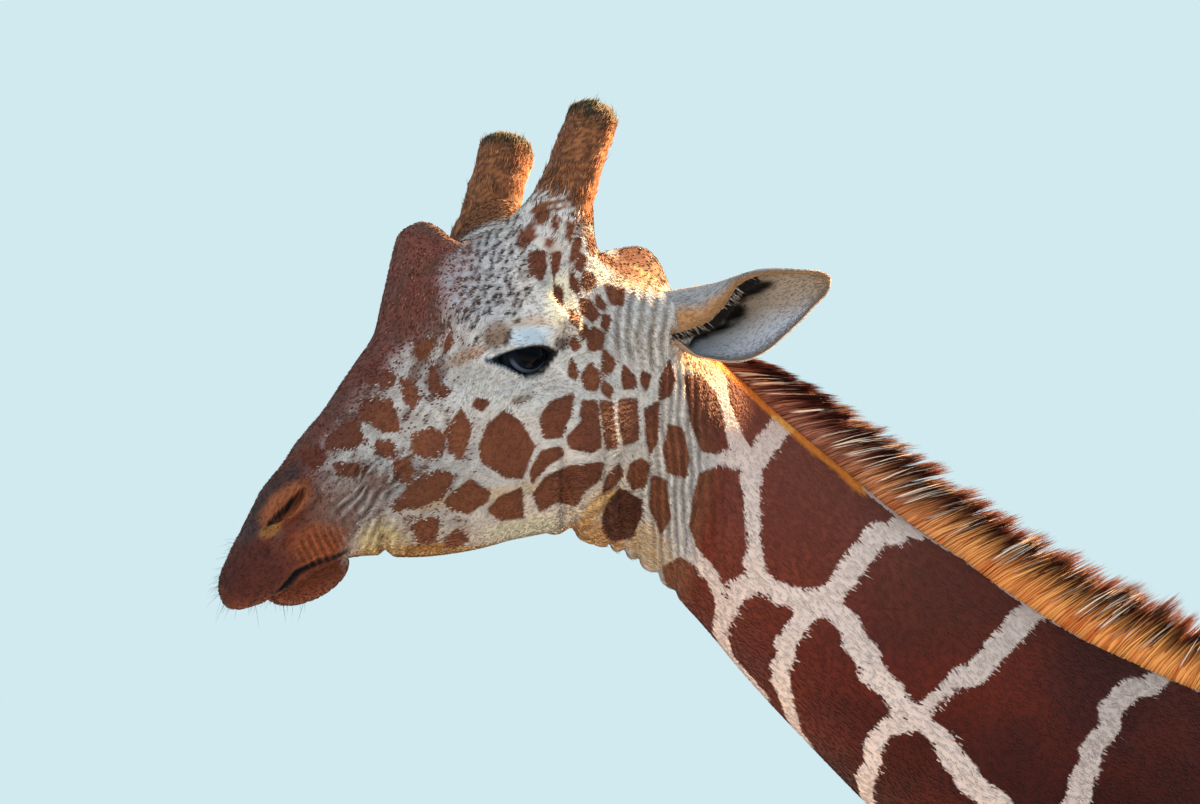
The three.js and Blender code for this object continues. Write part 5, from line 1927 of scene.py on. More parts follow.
def coat_colour(values: dict[str, Array], draw: Any) -> Array:
    """The colour of hairs, each a little to one side or the other of a patch's edge.

    Args:
        values: the markings' values where the hairs are rooted.
        draw: the source of random draws.

    Returns:
        Colours (n, 3).
    """
    n = len(values["patch"])
    share = ramp(-0.0012, 0.0012, values["patch"] + draw.normal(0, 0.0016, n) * values["rag"])[:, None]
    return values["ground"] * (1 - share) + values["dark"] * share


# places where the coat differs, each as its middle and reach in the side plane
THIN_LID, LID = ((1740, 3904), (27, 16)), ((1740, 3902), (30, 15))
KNOB, BROW_BUMP, ROUND_EYE = ((1545, 4016), (60, 44)), ((1812, 4030), (52, 50)), ((1742, 3878), (48, 40))


@dataclass(frozen=True)
class Coat:
    """Short tufts all over the skin, as many small blades that lie along the body."""

    head_gap: float = 12.0  # square mm of skin to a tuft
    neck_gap: float = 24.0
    body_gap: float = 90.0
    per_piece: int = 45000  # tufts at most in one piece
    long: float = 12.0  # a tuft's length on the neck; other parts of the body have less or more
    lift: float = 0.17  # how steeply it stands there
    wide: float = 1.15  # its half width there
    thick: float = 0.4  # its thickness over its width
    sunk: float = 0.8  # how deep it is rooted

    def scatter(self, mesh: Any, straight: Array, draw: Any) -> tuple[Array, Array, Array, Array]:
        """Draws the tufts' roots at random points of the skin's triangles.

        Each triangle has tufts in proportion to its area over the gap there.

        Args:
            mesh: the skin's mesh.
            straight: its points on the straight animal, in mm.
            draw: the source of random draws.

        Returns:
            The roots, the ways of the hair, the outward normals and how far headward each is.
        """
        mesh.calc_loop_triangles()
        corner = np.zeros(len(mesh.loop_triangles) * 3, np.int32)
        mesh.loop_triangles.foreach_get("vertices", corner)
        corner = corner.reshape(-1, 3)
        way = np.zeros(len(mesh.vertices) * 3, np.float32)
        mesh.attributes["way"].data.foreach_get("vector", way)
        way = way.reshape(-1, 3).astype(float)
        a, b, c = (straight[corner[:, k]] for k in range(3))
        cross = np.cross(b - a, c - a)
        area = np.linalg.norm(cross, axis=1) / 2
        mid = (a + b + c) / 3
        front = headward(mid)
        gap = np.interp(front, [2300, 2900, 3300, 3500],
                        [self.body_gap, self.neck_gap, self.neck_gap, self.head_gap])
        many = np.floor(area / gap + draw.random(len(area))).astype(int)
        pick = np.repeat(np.arange(len(area)), many)
        f, g = draw.random(len(pick)), draw.random(len(pick))
        f, g = np.where(f + g > 1, 1 - f, f), np.where(f + g > 1, 1 - g, g)
        share = stack(1 - f - g, f, g)[..., None]
        root = (straight[corner[pick]] * share).sum(1)
        lie = unit((way[corner[pick]] * share).sum(1))
        normal = unit(cross)[pick]
        return root, lie, normal, front[pick]

    def build(self, skin: Any, straight: Array, marks: Markings, material: Any) -> list[Any]:
        """Makes the tufts, each leaning from the way of the hair a little outward.

        Args:
            skin: the skin's object.
            straight: its points on the straight animal, in mm.
            marks: the markings.
            material: the hair's material.

        Returns:
            The coat's pieces.
        """
        draw = np.random.default_rng(41)
        root, lie, normal, front = self.scatter(skin.data, straight, draw)
        values = marks.at(root, draw.random(len(root)))
        lid, knob = (bell(root[:, 0], root[:, 2], *place) for place in (THIN_LID, KNOB))
        clear = (values["bare"] < 0.25) & (draw.random(len(root)) > np.maximum(lid * 1.1, knob * 0.8))
        root, lie, normal, front, knob = (q[clear] for q in (root, lie, normal, front, knob))
        values = {key: value[clear] for key, value in values.items()}
        n = len(root)
        head = ramp(3380, 3520, front)
        x, z = root[:, 0], root[:, 2]
        bump, eye, lid = (bell(x, z, *place) for place in (BROW_BUMP, ROUND_EYE, LID))
        face = ramp(1780, 2000, x) * head
        low = ramp(1900, 900, z)
        cheek = hill(x - 1900, 50) * head
        lift = self.lift + 0.10 * head + 0.30 * bump - 0.08 * eye - 0.08 * values["folds"]
        lift = lift + draw.normal(0, 0.06, n)
        long = self.long - 3.0 * head - 3.0 * face - 3.4 * eye + 6.0 * bump - 3.0 * low + 2.0 * cheek
        long = long + 3.0 * ramp(3000, 2600, front)
        long, lift = long - 2.4 * knob, lift - 0.10 * knob
        long = np.maximum(long - 3.4 * lid, 2.2) * draw.uniform(0.7, 1.3, n) * (1 - 0.6 * values["folds"])
        wide = self.wide - 0.30 * head - 0.20 * face - 0.25 * eye + 0.9 * ramp(3000, 2500, front)
        wide = wide * draw.uniform(0.7, 1.3, n)
        side = np.cross(normal, lie)
        swirl = 0.35 * noise(root, 38, 51) + 0.25 * noise(root, 12, 52) + draw.normal(0, 0.14, n)
        heading = unit(lie + side * swirl[:, None] + normal * np.maximum(lift, 0.06)[:, None])
        start = root - normal * self.sunk
        ends = np.stack([start, start + heading * long[:, None]], 1)
        path = turned(ends)
        flat = turned(start + side) - turned(start)
        around = np.arctan2(root[:, 1], 1.0 + np.abs(normal[:, 2])) * 0.3
        bake = stack(0.5 + np.sign(root[:, 1]) * 0.9 + around, front / 2600 + 1.3 * (x < -700) * low)
        tone = 0.34 * noise(root, 7, 53) + 0.20 * noise(root, 22, 54) + draw.normal(0, 0.2, n)
        tone = np.clip(0.5 + tone * (0.45 + 0.55 * head) * (1 - 0.5 * lid), 0, 1)
        things = []
        order = np.argsort(front)
        for k, part in enumerate(np.array_split(order, math.ceil(n / self.per_piece))):
            piece = Piece(f"coat_{k}")
            colour = coat_colour({key: value[part] for key, value in values.items()}, draw)
            strands(piece, path[part], flat[part], wide[part][:, None], self.thick, bake[part],
                    colour=colour, tone=tone[part])
            things.append(piece.build(material))
        return things


@dataclass(frozen=True)
class Bristles:
    """The long stiff hairs round the lips, and the lashes."""

    whiskers: int = 130
    lashes: int = 190

    def build(self, grid: Array, material: Any) -> Any:
        """Makes the bristles, each a thin blade that bends a little.

        Args:
            grid: the straight head's points (rows, columns, 3).
            material: the hair's material.

        Returns:
            The bristles' object.
        """
        draw = np.random.default_rng(61)
        normal = grid_normals(grid)
        x, z = grid[..., 0], grid[..., 2]
        lips = ((x > 2046) & (z < 3650)) | ((x > 1925) & (z < 3606))
        pick = draw.choice(np.flatnonzero(lips), self.whiskers, replace=False)
        root, out = grid.reshape(-1, 3)[pick], normal.reshape(-1, 3)[pick]
        n = self.whiskers
        heading = unit(out + draw.normal(0, 0.30, (n, 3)) + np.array([0.15, 0, -0.45]))
        long = draw.uniform(9, 30, n) * (0.6 + 0.4 * draw.random(n))
        edge = join([LIDS[0][8:34], LIDS[1][7:34]])
        lid = join([np.ones(26), -np.ones(27)])
        m = self.lashes
        who = draw.integers(0, len(edge), m)
        spot = edge[who] + draw.normal(0, 0.6, (m, 2))
        reach = np.hypot(spot[:, 0] - EYE_AT[0], spot[:, 1] - EYE_AT[2])
        side = np.where(np.arange(m) % 2 == 0, 1.0, -1.0)
        deep = EYE_AT[1] + np.sqrt(np.maximum((BALL_COVER + 0.5) ** 2 - reach**2, 20.0))
        lash = stack(spot[:, 0], side * deep, spot[:, 1])
        upper = lid[who] > 0
        fan_out = stack((spot[:, 0] - EYE_AT[0]) * 0.014, side * np.where(upper, 0.8, 0.85),
                            np.where(upper, -0.1, -0.8))
        root = join([root, lash])
        heading = join([heading, unit(fan_out + draw.normal(0, 0.12, (m, 3)))])
        long = join([long, draw.uniform(4.0, 6.5, m) * np.where(upper, 1.0, 1.35)])
        u = np.array([0.0, 0.35, 0.7, 1.0])
        bend = np.array([0.0, 0.0, -0.22]) + draw.normal(0, 0.06, (n + m, 3))
        path = root[:, None] + heading[:, None] * (long[:, None] * u)[..., None]
        path = path + bend[:, None] * (long[:, None] * u**2)[..., None]
        flat = turned(root + np.cross(heading, [0.0, 0.0, 1.0])) - turned(root)
        width = join([np.full(n, 0.26), np.full(m, 0.30)])[:, None] * np.array([1.0, 0.8, 0.55])
        piece = Piece("bristles")
        bake = stack(0.1 + 0.001 * np.arange(n + m) % 0.3, np.full(n + m, 1.55))
        shade = np.where(np.arange(n + m) < n, 0.5, 0.1)
        colour = np.tile(rgb(40, 30, 28), (n + m, 1))
        strands(piece, turned(path), flat, width, 0.6, bake, tone=shade, colour=colour)
        return piece.build(material)


def crest(s: Array) -> tuple[Array, Array, Array]:
    """The crest of the neck.

    Args:
        s: stations (n,).

    Returns:
        Its points there, its runs towards the tail and the ways outward.
    """
    top = np.zeros_like(s)
    here = trunk_point(s, top, ridged(s, top) - 4.0)
    run = unit(trunk_point(s + 0.2, top, -4.0) - trunk_point(s, top, -4.0))
    out = stack(-run[:, 2], np.zeros(len(s)), run[:, 0]) * np.sign(run[:, :1])
    return here, run, out


@dataclass(frozen=True)
class Mane:
    """The upright mane along the crest, in clumps of hairs."""

    start: float = 16.7
    end: float = 26.6
    height: tuple[float, ...] = (43, 63, 77, 82, 85, 83, 72, 46)
    lean: tuple[float, ...] = (1.35, 0.90, 0.60, 0.42, 0.26, 0.2, 0.15, 0.1)
    half: float = 13.0
    clumps: int = 170
    count: int = 12000

    def build(self, material: Any) -> list[Any]:
        """Makes the hairs as blades that lean back over one another, their tips drawn together in clumps.

        Args:
            material: the hair's material.

        Returns:
            The hairs' object and that of the roots.
        """
        draw = np.random.default_rng(21)
        n = self.count
        t = np.sort(draw.uniform(0, 1, n))
        pull = (np.floor(t * self.clumps) + 0.5 + draw.normal(0, 0.25, n)) / self.clumps
        own = np.floor(pull * self.clumps).astype(int) % self.clumps
        clump_high = draw.normal(0, 0.065, self.clumps)[own]
        clump_lean = draw.normal(0, 0.06, self.clumps)[own]
        clump_side = draw.uniform(-1, 1, self.clumps)[own]
        here, run, out = crest(self.start + (self.end - self.start) * t)
        high = along(self.height, t) * (1 + clump_high + draw.normal(0, 0.05, n) - 0.22 * draw.random(n) ** 3)
        lean = along(self.lean, t) + clump_lean + draw.normal(0, 0.05, n)
        offset = (np.clip(pull, 0, 1) - t) * 1000 * 0.9
        y0 = draw.uniform(-1, 1, n) * self.half * (0.35 + 0.65 * ramp(0.12, 0.34, t))
        y0 = y0 - 7 * ramp(0.42, 0.16, t)
        y1 = clump_side * 7 + y0 * 0.45 + draw.normal(0, 1.5, n)
        u = np.array([0.0, 0.3, 0.62, 1.0])
        path = (here[:, None] + out[:, None] * (u * high[:, None] - (1 - u) * 12)[..., None]
                + run[:, None] * (high * lean)[:, None, None] * (u**1.35)[:, None]
                + run[:, None] * (offset[:, None] * u**1.5)[..., None])
        path[..., 1] = y0[:, None] + (y1 - y0)[:, None] * u**1.3
        path = turned(path)
        a = draw.uniform(-0.7, 0.7, n)
        flat = turned(here + run * np.cos(a)[:, None] + np.array([0, 1, 0]) * np.sin(a)[:, None])
        flat = flat - turned(here)
        width = draw.uniform(0.5, 0.95, n)[:, None] * np.array([1.4, 1.5, 1.1])
        bake = stack(t * 1.6, 1.2 + y0 * 0.003)
        piece = Piece("mane_hair")
        tone = 0.45 * draw.random(self.clumps)[own] + 0.55 * draw.random(n)
        strands(piece, path, flat, width, 0.5, bake, tone=tone, where=t)
        return [piece.build(material), self.roots(material)]

    def roots(self, material: Any) -> Any:
        """Makes the solid that fills the mane's foot: rings about the crest, as high as a share of the hairs.

        Args:
            material: the hair's material.

        Returns:
            The roots' object.
        """
        core = Piece("mane_roots")
        s = self.start + (self.end - self.start) * np.linspace(0.002, 0.998, 160)
        here, run, out = crest(s)
        share = np.linspace(0, 1, 160)
        v = np.linspace(0, 2 * np.pi, 17)[:-1]
        high = along(self.height, share) * 0.42
        lean = along(self.lean, share)
        up = np.cos(v)[None] * (high[:, None] + 16) / 2 + (high[:, None] - 16) / 2
        wide = (0.4 + 0.6 * ramp(0.12, 0.34, share))[:, None]
        across = np.sin(v)[None] * (9.5 - 3.0 * np.cos(v)[None]) * wide
        back = (np.maximum(up, 0) * lean[:, None])[..., None]
        rings = here[:, None] + out[:, None] * up[..., None] + run[:, None] * back
        rings[..., 1] = across - 7 * ramp(0.42, 0.16, share)[:, None]
        closed_tube(core, turned(rings), tip=np.clip(up / 90, 0, 1), tone=np.full(up.shape, 0.4),
                    where=np.repeat(share[:, None], 16, 1))
        return core.build(material)


@dataclass(frozen=True)
class TailTuft:
    """The brush of long hair at the tail's end."""

    top: Pair = (-1470, 1664)
    bottom: Pair = (-1456, 1050)
    count: int = 1500

    def build(self, material: Any) -> list[Any]:
        """Makes hanging hairs from a core; each leaves the core at its own height and ends at its own.

        Args:
            material: the hair's material.

        Returns:
            The hairs' object and the core's.
        """
        draw = np.random.default_rng(22)
        n = self.count
        start = draw.random(n) ** 1.4 * 0.5
        end = 0.80 + 0.2 * draw.random(n) ** 0.7
        a = draw.uniform(0, 2 * np.pi, n)
        u = np.linspace(0, 1, 7)
        way = start[:, None] + (end - start)[:, None] * u
        reach = along((12, 30, 42, 40, 30, 16), way) * (0.55 + 0.45 * draw.random(n))[:, None]
        reach = reach * np.minimum(1, u * 3 + 0.35)
        swirl = a[:, None] + 0.5 * draw.normal(0, 1, n)[:, None] * u
        top, bottom = np.array(self.top), np.array(self.bottom)
        centre = top + (bottom - top) * way[..., None]
        path = stack(centre[..., 0] + reach * np.cos(swirl), reach * np.sin(swirl), centre[..., 1])
        width = draw.uniform(0.8, 1.4, n)[:, None] * np.array([1.2, 1.8, 2.0, 1.9, 1.6, 1.1])
        flat = stack(-np.sin(a), np.cos(a), np.zeros(n))
        piece = Piece("tail_hair")
        bake = stack(1.7 + a * 0.03, start)
        strands(piece, path, flat, width, 0.5, bake, tone=draw.random(n), where=start)
        core = np.linspace(-0.05, 0.6, 30)
        v = np.linspace(0, 2 * np.pi, 17)[:-1]
        radius = along((15, 22, 22, 16, 4), np.linspace(0, 1, 30))
        at = top + (bottom - top) * core[:, None]
        rings = stack(at[:, None, 0] + radius[:, None] * np.cos(v), radius[:, None] * np.sin(v),
                          at[:, None, 1] + 0 * v)
        heart = Piece("tail_heart")
        none = np.zeros(rings.shape[:2])
        closed_tube(heart, rings, tip=none, tone=none + 0.3, where=none)
        return [piece.build(material), heart.build(material)]


@dataclass(frozen=True)
class Horns:
    """The two horns, with the hair on them."""

    left: Triple = (1634, 92, 4181)
    right: Triple = (1636, 94, 4168)
    left_radii: tuple[float, ...] = (26, 40, 42, 38, 35, 34, 33, 32)
    right_radii: tuple[float, ...] = (26, 40, 42, 38, 36, 35, 35, 34)
    hairs: int = 9000

    def form(self, side: Side) -> tuple[Array, tuple[float, ...]]:
        """The tip and the radii of the horn of a side."""
        left = side is Side.LEFT
        return np.array(self.left if left else self.right), self.left_radii if left else self.right_radii

    def surface(self, side: Side, a: Array, v: Array) -> Array:
        """The horn's surface: rings square to the axis, their radii read along it, rounded over at the top.

        Args:
            side: the side whose horn it is.
            a: shares of the way from root to tip.
            v: angles round the axis.

        Returns:
            Points of the straight animal's left side.
        """
        end, radii = self.form(side)
        axis = unit(end - HORN_ROOT)
        ahead = unit(np.cross(np.array([0.0, 1.0, 0.0]), axis))
        across = np.cross(axis, ahead)
        centre = HORN_ROOT + (end - HORN_ROOT) * a[..., None]
        dome = np.sqrt(1 - np.clip((a - 0.90) / 0.102, 0, 1) ** 2)
        radius = (along(radii, a) - 3.5) * dome
        out = ahead * np.cos(v)[..., None] + across * np.sin(v)[..., None]
        spot = centre + out * radius[..., None]
        lump = 1.3 * noise(spot, 26, 31) + 0.7 * noise(spot, 11, 32)
        return spot + out * lump[..., None]

    def colour(self, p: Array, a: Array, marks: Markings, draw: Any) -> Array:
        """The hair's colour: the head's own below, with painted sunlight making the back side lighter and
        golden, greenish black at the worn top.

        Args:
            p: points (n, 3) of the straight animal.
            a: their shares of the way up the horn.
            marks: the markings.
            draw: the source of random draws.

        Returns:
            Colours (n, 3).
        """
        own = coat_colour(marks.at(p, draw.random(len(p))), draw)
        # painted sunlight: the horn's back side lighter and golden
        back = ramp(2, -24, p[:, 0] - HORN_ROOT[0] - (self.left[0] - HORN_ROOT[0]) * a)
        own = own * (1 + back[:, None] * np.array([0.9, 0.6, 0.2]))
        mix = draw.random(len(p))[:, None] ** 3
        black = ramp(0.84, 0.92, a + 0.04 * noise(p, 12, 62) + draw.normal(0, 0.03, len(p)))[:, None]
        return own * (1 - black) + (rgb(96, 88, 62) * mix + rgb(34, 32, 25) * (1 - mix)) * black

    def build(self, marks: Markings, hair: Any, side: Side) -> list[Any]:
        """Makes one horn: its body, and short hairs that lie up along it, looser round the worn top.

        Args:
            marks: the markings.
            hair: the hair's material.
            side: the side whose horn it is.

        Returns:
            The horn's object and its hair's.
        """
        tip = self.form(side)[0]
        name = f"horn_{side.name.lower()}"
        draw = np.random.default_rng(33 + side.value)
        a = np.sin(np.linspace(0, 1, 60) * np.pi / 2)
        v = np.linspace(0, 2 * np.pi, 49)[:-1]
        grid = self.surface(side, a[:, None] + 0 * v, v[None] + 0 * a[:, None])
        flip = np.array([1, side.value, 1])
        piece = Piece(name)
        colour = self.colour((grid * flip).reshape(-1, 3), np.repeat(a, 48), marks, draw).reshape(60, 48, 3)
        dull = np.full((60, 48), 0.3)
        closed_tube(piece, turned(grid * flip, True), tip=dull, tone=dull, colour=colour)
        n = self.hairs
        at = 0.10 + 0.895 * draw.random(n) ** 0.85
        turn = draw.uniform(0, 2 * np.pi, n)
        root = self.surface(side, at, turn)
        ahead = self.surface(side, np.minimum(at + 0.02, 1.0), turn)
        outward = unit(root - HORN_ROOT - (tip - HORN_ROOT) * at[:, None])
        swirl = 0.5 * noise(root, 30, 63) + 0.3 * noise(root, 11, 64)
        way = unit(ahead - root)
        way = way + np.cross(outward, way) * swirl[:, None] + draw.normal(0, 0.10, (n, 3))
        crown = ramp(0.80, 0.94, at)
        length = draw.uniform(6, 11, n) - 1.0 * crown + 9 * (draw.random(n) > 0.975)
        lift = 0.22 + 0.25 * crown + 0.25 * noise(root, 15, 65)
        u = np.array([0.0, 0.5, 1.0])
        heading = unit(way + outward * np.maximum(lift, 0.08)[:, None])
        path = root[:, None] - outward[:, None] * 1.0 + heading[:, None] * (length[:, None] * u)[..., None]
        path = path - outward[:, None] * (length[:, None] * 0.12 * u**2)[..., None]
        path = turned(path * flip, True)
        flat = turned(np.cross(heading, outward) * flip + PIVOT, True) - PIVOT
        coat = Piece(name + "_hair")
        bake = stack(2.2 + 0.2 * (side is Side.LEFT) + turn * 0.03, at * 0.22)
        axis = unit(tip - HORN_ROOT)
        streak = root - axis * ((root - HORN_ROOT) @ axis)[:, None] * 0.78
        tone = 0.5 + 0.75 * noise(streak, 4.5, 66) + 0.25 * noise(root, 14, 67)
        tone = np.clip(tone + draw.normal(0, 0.15, n), 0, 1)
        shade = self.colour(root * flip, at, marks, draw) * (1 + 0.8 * (draw.random(n) > 0.9))[:, None]
        strands(coat, path, flat, draw.uniform(0.4, 0.85, n)[:, None] * np.array([1.0, 0.8]), 0.45, bake,
                tone=tone, colour=np.minimum(shade, 0.8))
        return [piece.build(hair), coat.build(hair)]


EAR_FORM = (
    # eight points round the ear at each tenth of its length, lower margin to upper margin, as (up, out)
    ((-20, 24), (-29, 8), (-24, -18), (0, -30), (24, -18), (30, 4), (12, 25), (-18, 26)),
    ((-23, 20), (-31, 4), (-25, -20), (0, -31), (24, -18), (31, 5), (12, 24), (-17, 24)),
    ((-47, 5), (-46, -8), (-28, -26), (-2, -34), (23, -19), (29.7, 5), (11, 23), (-17, 22)),
    ((-58, 2), (-52, -12), (-32, -28), (-4, -34), (22, -19), (28, 5), (10, 20), (-13, 19)),
    ((-65, 2), (-56, -13), (-33, -27), (-4, -33), (21, -18), (27.2, 5), (15, 15), (-1, 15)),
    ((-66, 2), (-56, -13), (-31, -25), (-3, -30), (22, -15), (29, 4), (26, 9), (18, 10)),
    ((-60, 2), (-50, -11), (-27, -21), (-1, -25), (22, -12), (30.3, 3), (29, 5), (24, 6)),
    ((-49, 2), (-41, -9), (-22, -17), (0, -19), (20, -10), (27.8, 2), (27, 4), (24, 5)),
    ((-37, 1), (-31, -7), (-16, -12), (1, -14), (15, -7), (22.3, 2), (21.8, 3), (19.5, 3.5)),
    ((-23, 1), (-18, -4), (-9, -7), (1, -8), (10, -4), (15.6, 1), (15, 2), (13.5, 2)),
    ((-11, 0), (-8, -1), (-4, -2), (0, -2), (5, -1), (8, 0), (7.8, 0.5), (7, 0.5)),
)
# the inner face's hollows, pressed in and painted black as their shadow
EAR_HOLLOWS = (  # middle and half size in mm along and up the ear, and tilt in degrees
    ((130, 12), (24, 7.5), 3), ((99, -9), (18, 12), 0), ((60, -22), (40, 7.5), -2),
)
EAR_LENGTH = 215


@dataclass(frozen=True)
class Ears:
    """The two ears: a tube at the root that opens by a slanting slit into a leaf."""

    root: Triple = (1556, 84, 3930)
    tip: Triple = (1377, 190, 3984)
    opens: Triple = (0.454, 0.881, -0.132)
    wall: float = 3.4
    hairs: int = 12000
    fringe: int = 2200

    def frame(self) -> tuple[Array, Array, Array]:
        """The ear's own frame.

        Returns:
            Its run from root to tip, its way up and the way that it opens.
        """
        run = np.array(self.tip, float) - np.array(self.root)
        opens = unit(np.array(self.opens))
        upward = unit(np.cross(opens, run))
        return run, upward * np.sign(upward[2]), opens

    def sheet(self, a: Array, b: Array) -> tuple[Array, Array]:
        """The wall's middle at a along the ear and b round it: curves through the form's points both ways.

        Args:
            a: shares of the way from root to tip, (n,).
            b: shares of the way from the lower to the upper margin, (m,).

        Returns:
            Points (n, m, 3), and the way up (n, m) of each from the ear's run.
        """
        form = catmull(np.array(EAR_FORM, float).reshape(11, 16), a).reshape(len(a), 8, 2)
        close = np.sqrt(np.clip(1 - ((a - 0.95) / 0.056) ** 2, 0.003, 1)) * (a > 0.95) + (a <= 0.95)
        form = (form * close[:, None, None]).transpose(1, 0, 2).reshape(8, -1)
        up, out = np.moveaxis(catmull(form, b).reshape(len(b), len(a), 2), -1, 0)
        up, out = up.T, out.T
        for at, half, tilt in EAR_HOLLOWS:
            r = tipped_oval(a[:, None] * EAR_LENGTH, up, at, half, tilt)
            out = out - 7.0 * ramp(1.2, 0.5, r) * (b < 0.72)
        run, upward, opens = self.frame()
        spine = np.array(self.root) + run * a[:, None, None]
        return spine + upward * up[..., None] + opens * out[..., None], up

    def colour(self, p: Array, a: Array, b: Array, up: Array, inner: Array) -> Array:
        """The hair's colour: pale inside, with painted shadow in the hollows and under the slit, grey and tan
        on the rolled edge.

        Args:
            p: points (..., 3).
            a: shares of the way from root to tip.
            b: shares of the way from the lower to the upper margin.
            up: the way up from the ear's run.
            inner: 1 on the inner face and 0 on the outer.

        Returns:
            Colours (..., 3).
        """
        tan, grey = rgb(152, 136, 124), rgb(174, 176, 188)
        blend = ramp(-2, -38, up + 9 * noise(p, 30, 71))[..., None]
        inside = tan * (1 - blend) + grey * blend
        edge = ramp(0.10, 0.02, b) + ramp(0.84, 0.93, b) + ramp(0.86, 1.0, a)
        edge = np.clip(edge, 0, 1)[..., None] * 0.7
        inside = inside * (1 - edge) + rgb(150, 120, 96) * edge
        # painted shadow: black in the hollows and in a band under the slit's margin
        dark = np.zeros(a.shape)
        for at, half, tilt in EAR_HOLLOWS:
            dark = np.maximum(dark, ramp(1.25, 0.75, tipped_oval(a * EAR_LENGTH, up, at, half, tilt)))
        slit = np.interp(a, np.linspace(0, 1, 11), [form[7][0] for form in EAR_FORM])
        near = ramp(25, 13, slit - up + 4 * noise(p, 9, 76)) * ramp(0.66, 0.54, a)
        dark = np.maximum(dark, near)[..., None]
        inside = inside * (1 - dark) + rgb(26, 20, 20) * dark
        roll = ramp(0.66, 0.72, b)[..., None]
        warm = ramp(0.80, 0.93, b + 0.03 * noise(p, 16, 72))[..., None]
        front = rgb(152, 151, 156) * (1 - warm) + rgb(180, 136, 98) * warm
        brown = ramp(0.1, 0.5, noise(p, 34, 73))[..., None] * 0.5
        outside = (rgb(214, 196, 180) * (1 - brown) + rgb(150, 104, 76) * brown) * (1 - roll) + front * roll
        return np.where(inner[..., None] > 0.5, inside, outside)

    def build(self, fur: Any, side: Side) -> list[Any]:
        """Makes one ear: its wall, the short hair on both faces, and the fringe of the slit.

        Args:
            fur: the hair's material.
            side: the side whose ear it is.

        Returns:
            The wall's object and the hair's.
        """
        word = side.name.lower()
        flip = np.array([1, side.value, 1])
        a = join([np.linspace(-0.06, 0.9, 90), 0.9 + 0.105 * np.sin(np.linspace(0, 1, 18)[1:] * np.pi / 2)])
        b = 0.5 - 0.5 * np.cos(np.linspace(0.02, 0.98, 72) * np.pi)
        mid, up = self.sheet(a, b)
        normal = unit(np.cross(np.gradient(mid, axis=0), np.gradient(mid, axis=1)))
        normal = normal * np.sign((normal[30, 30] * self.frame()[2]).sum())
        wall = self.wall / 2 * np.maximum(1 - np.abs(2 * b - 1) ** 8, 0.25)[None, :, None]
        grid = join([mid - normal * wall, (mid + normal * wall)[:, ::-1]], 1)
        inner = join([np.zeros(72), np.ones(72)])[None] + 0 * a[:, None]
        aa, bb = a[:, None] + np.zeros((1, 144)), join([b, b[::-1]])[None] + 0 * a[:, None]
        colour = self.colour(grid, aa, bb, join([up, up[:, ::-1]], 1), inner)
        piece = Piece(f"ear_skin_{word}")
        dull = np.full(aa.shape, 0.4)
        closed_tube(piece, turned(grid * flip, True), tip=dull, tone=dull, colour=colour)
        draw = np.random.default_rng(81 + side.value)
        n, m = self.hairs, self.fringe
        i = np.minimum((draw.random(n) * 100).astype(int), 99)
        j = draw.integers(1, 71, n)
        face = np.where(draw.random(n) < 0.55, 1.0, -1.0)
        down = unit(mid[i + 1, j] - mid[i, j])
        out = normal[i, j] * face[:, None]
        root = mid[i, j] + draw.uniform(-0.5, 0.5, (n, 1)) * (mid[i + 1, j] - mid[i, j]) * 2
        root = root + draw.uniform(-0.5, 0.5, (n, 1)) * (mid[i, j + 1] - mid[i, j]) + out * 1.6
        swirl = 0.4 * noise(root, 26, 74) + draw.normal(0, 0.14, n)
        heading = unit(down + np.cross(out, down) * swirl[:, None] + out * 0.17)
        long = draw.uniform(2.4, 4.4, n) * np.where(j > 50, 1.5, 1.0)
        shade = self.colour(root, a[i], b[j], up[i, j], np.where(face > 0, 1.0, 0.0))
        at = draw.uniform(0.085, 0.60, m)
        k = np.searchsorted(a, at)
        white = draw.random(m) < 0.05 * (at < 0.24) + 0.10 * (at > 0.40) * (at < 0.50) + 0.004
        edge = mid[k, np.where(white, 69, 71)] + draw.normal(0, 0.7, (m, 3))
        run, upward, opens = self.frame()
        fringe = unit(unit(run) * 0.62 - upward * 0.78 + opens * np.where(white, 0.22, 0.05)[:, None]
                      + draw.normal(0, 0.18, (m, 3)))
        edge = edge + opens * np.where(white, 1.0, 0.2)[:, None]
        root = join([root, edge])
        far = draw.uniform(5, 13, m) * np.where(white, 1.1, 1.0)
        reach = join([heading * long[:, None], fringe * far[:, None]])
        path = root[:, None] + reach[:, None] * np.array([0, 0.5, 1])[:, None]
        pale = np.where(white[:, None], rgb(206, 190, 176), rgb(24, 19, 19))
        flat = join([np.cross(heading, out), np.cross(fringe, opens)])
        width = join([draw.uniform(0.25, 0.5, n), draw.uniform(0.3, 0.55, m) * np.where(white, 0.6, 1.0)])
        width = width[:, None] * np.array([1.0, 0.8])
        hair = Piece(f"ear_hair_{word}")
        bake = stack(2.7 + 0.2 * (side is Side.LEFT) + 0.15 * join([b[j], b[j][:m]]),
                         0.22 * join([a[i], at]))
        tone = np.clip(0.5 + 0.2 * noise(root, 5, 75) + draw.normal(0, 0.14, n + m), 0, 1)
        flat = turned(flat * flip + PIVOT, True) - PIVOT
        strands(hair, turned(path * flip, True), flat, width, 0.45, bake, tone=tone,
                colour=join([shade, pale]))
        return [piece.build(fur), hair.build(fur)]


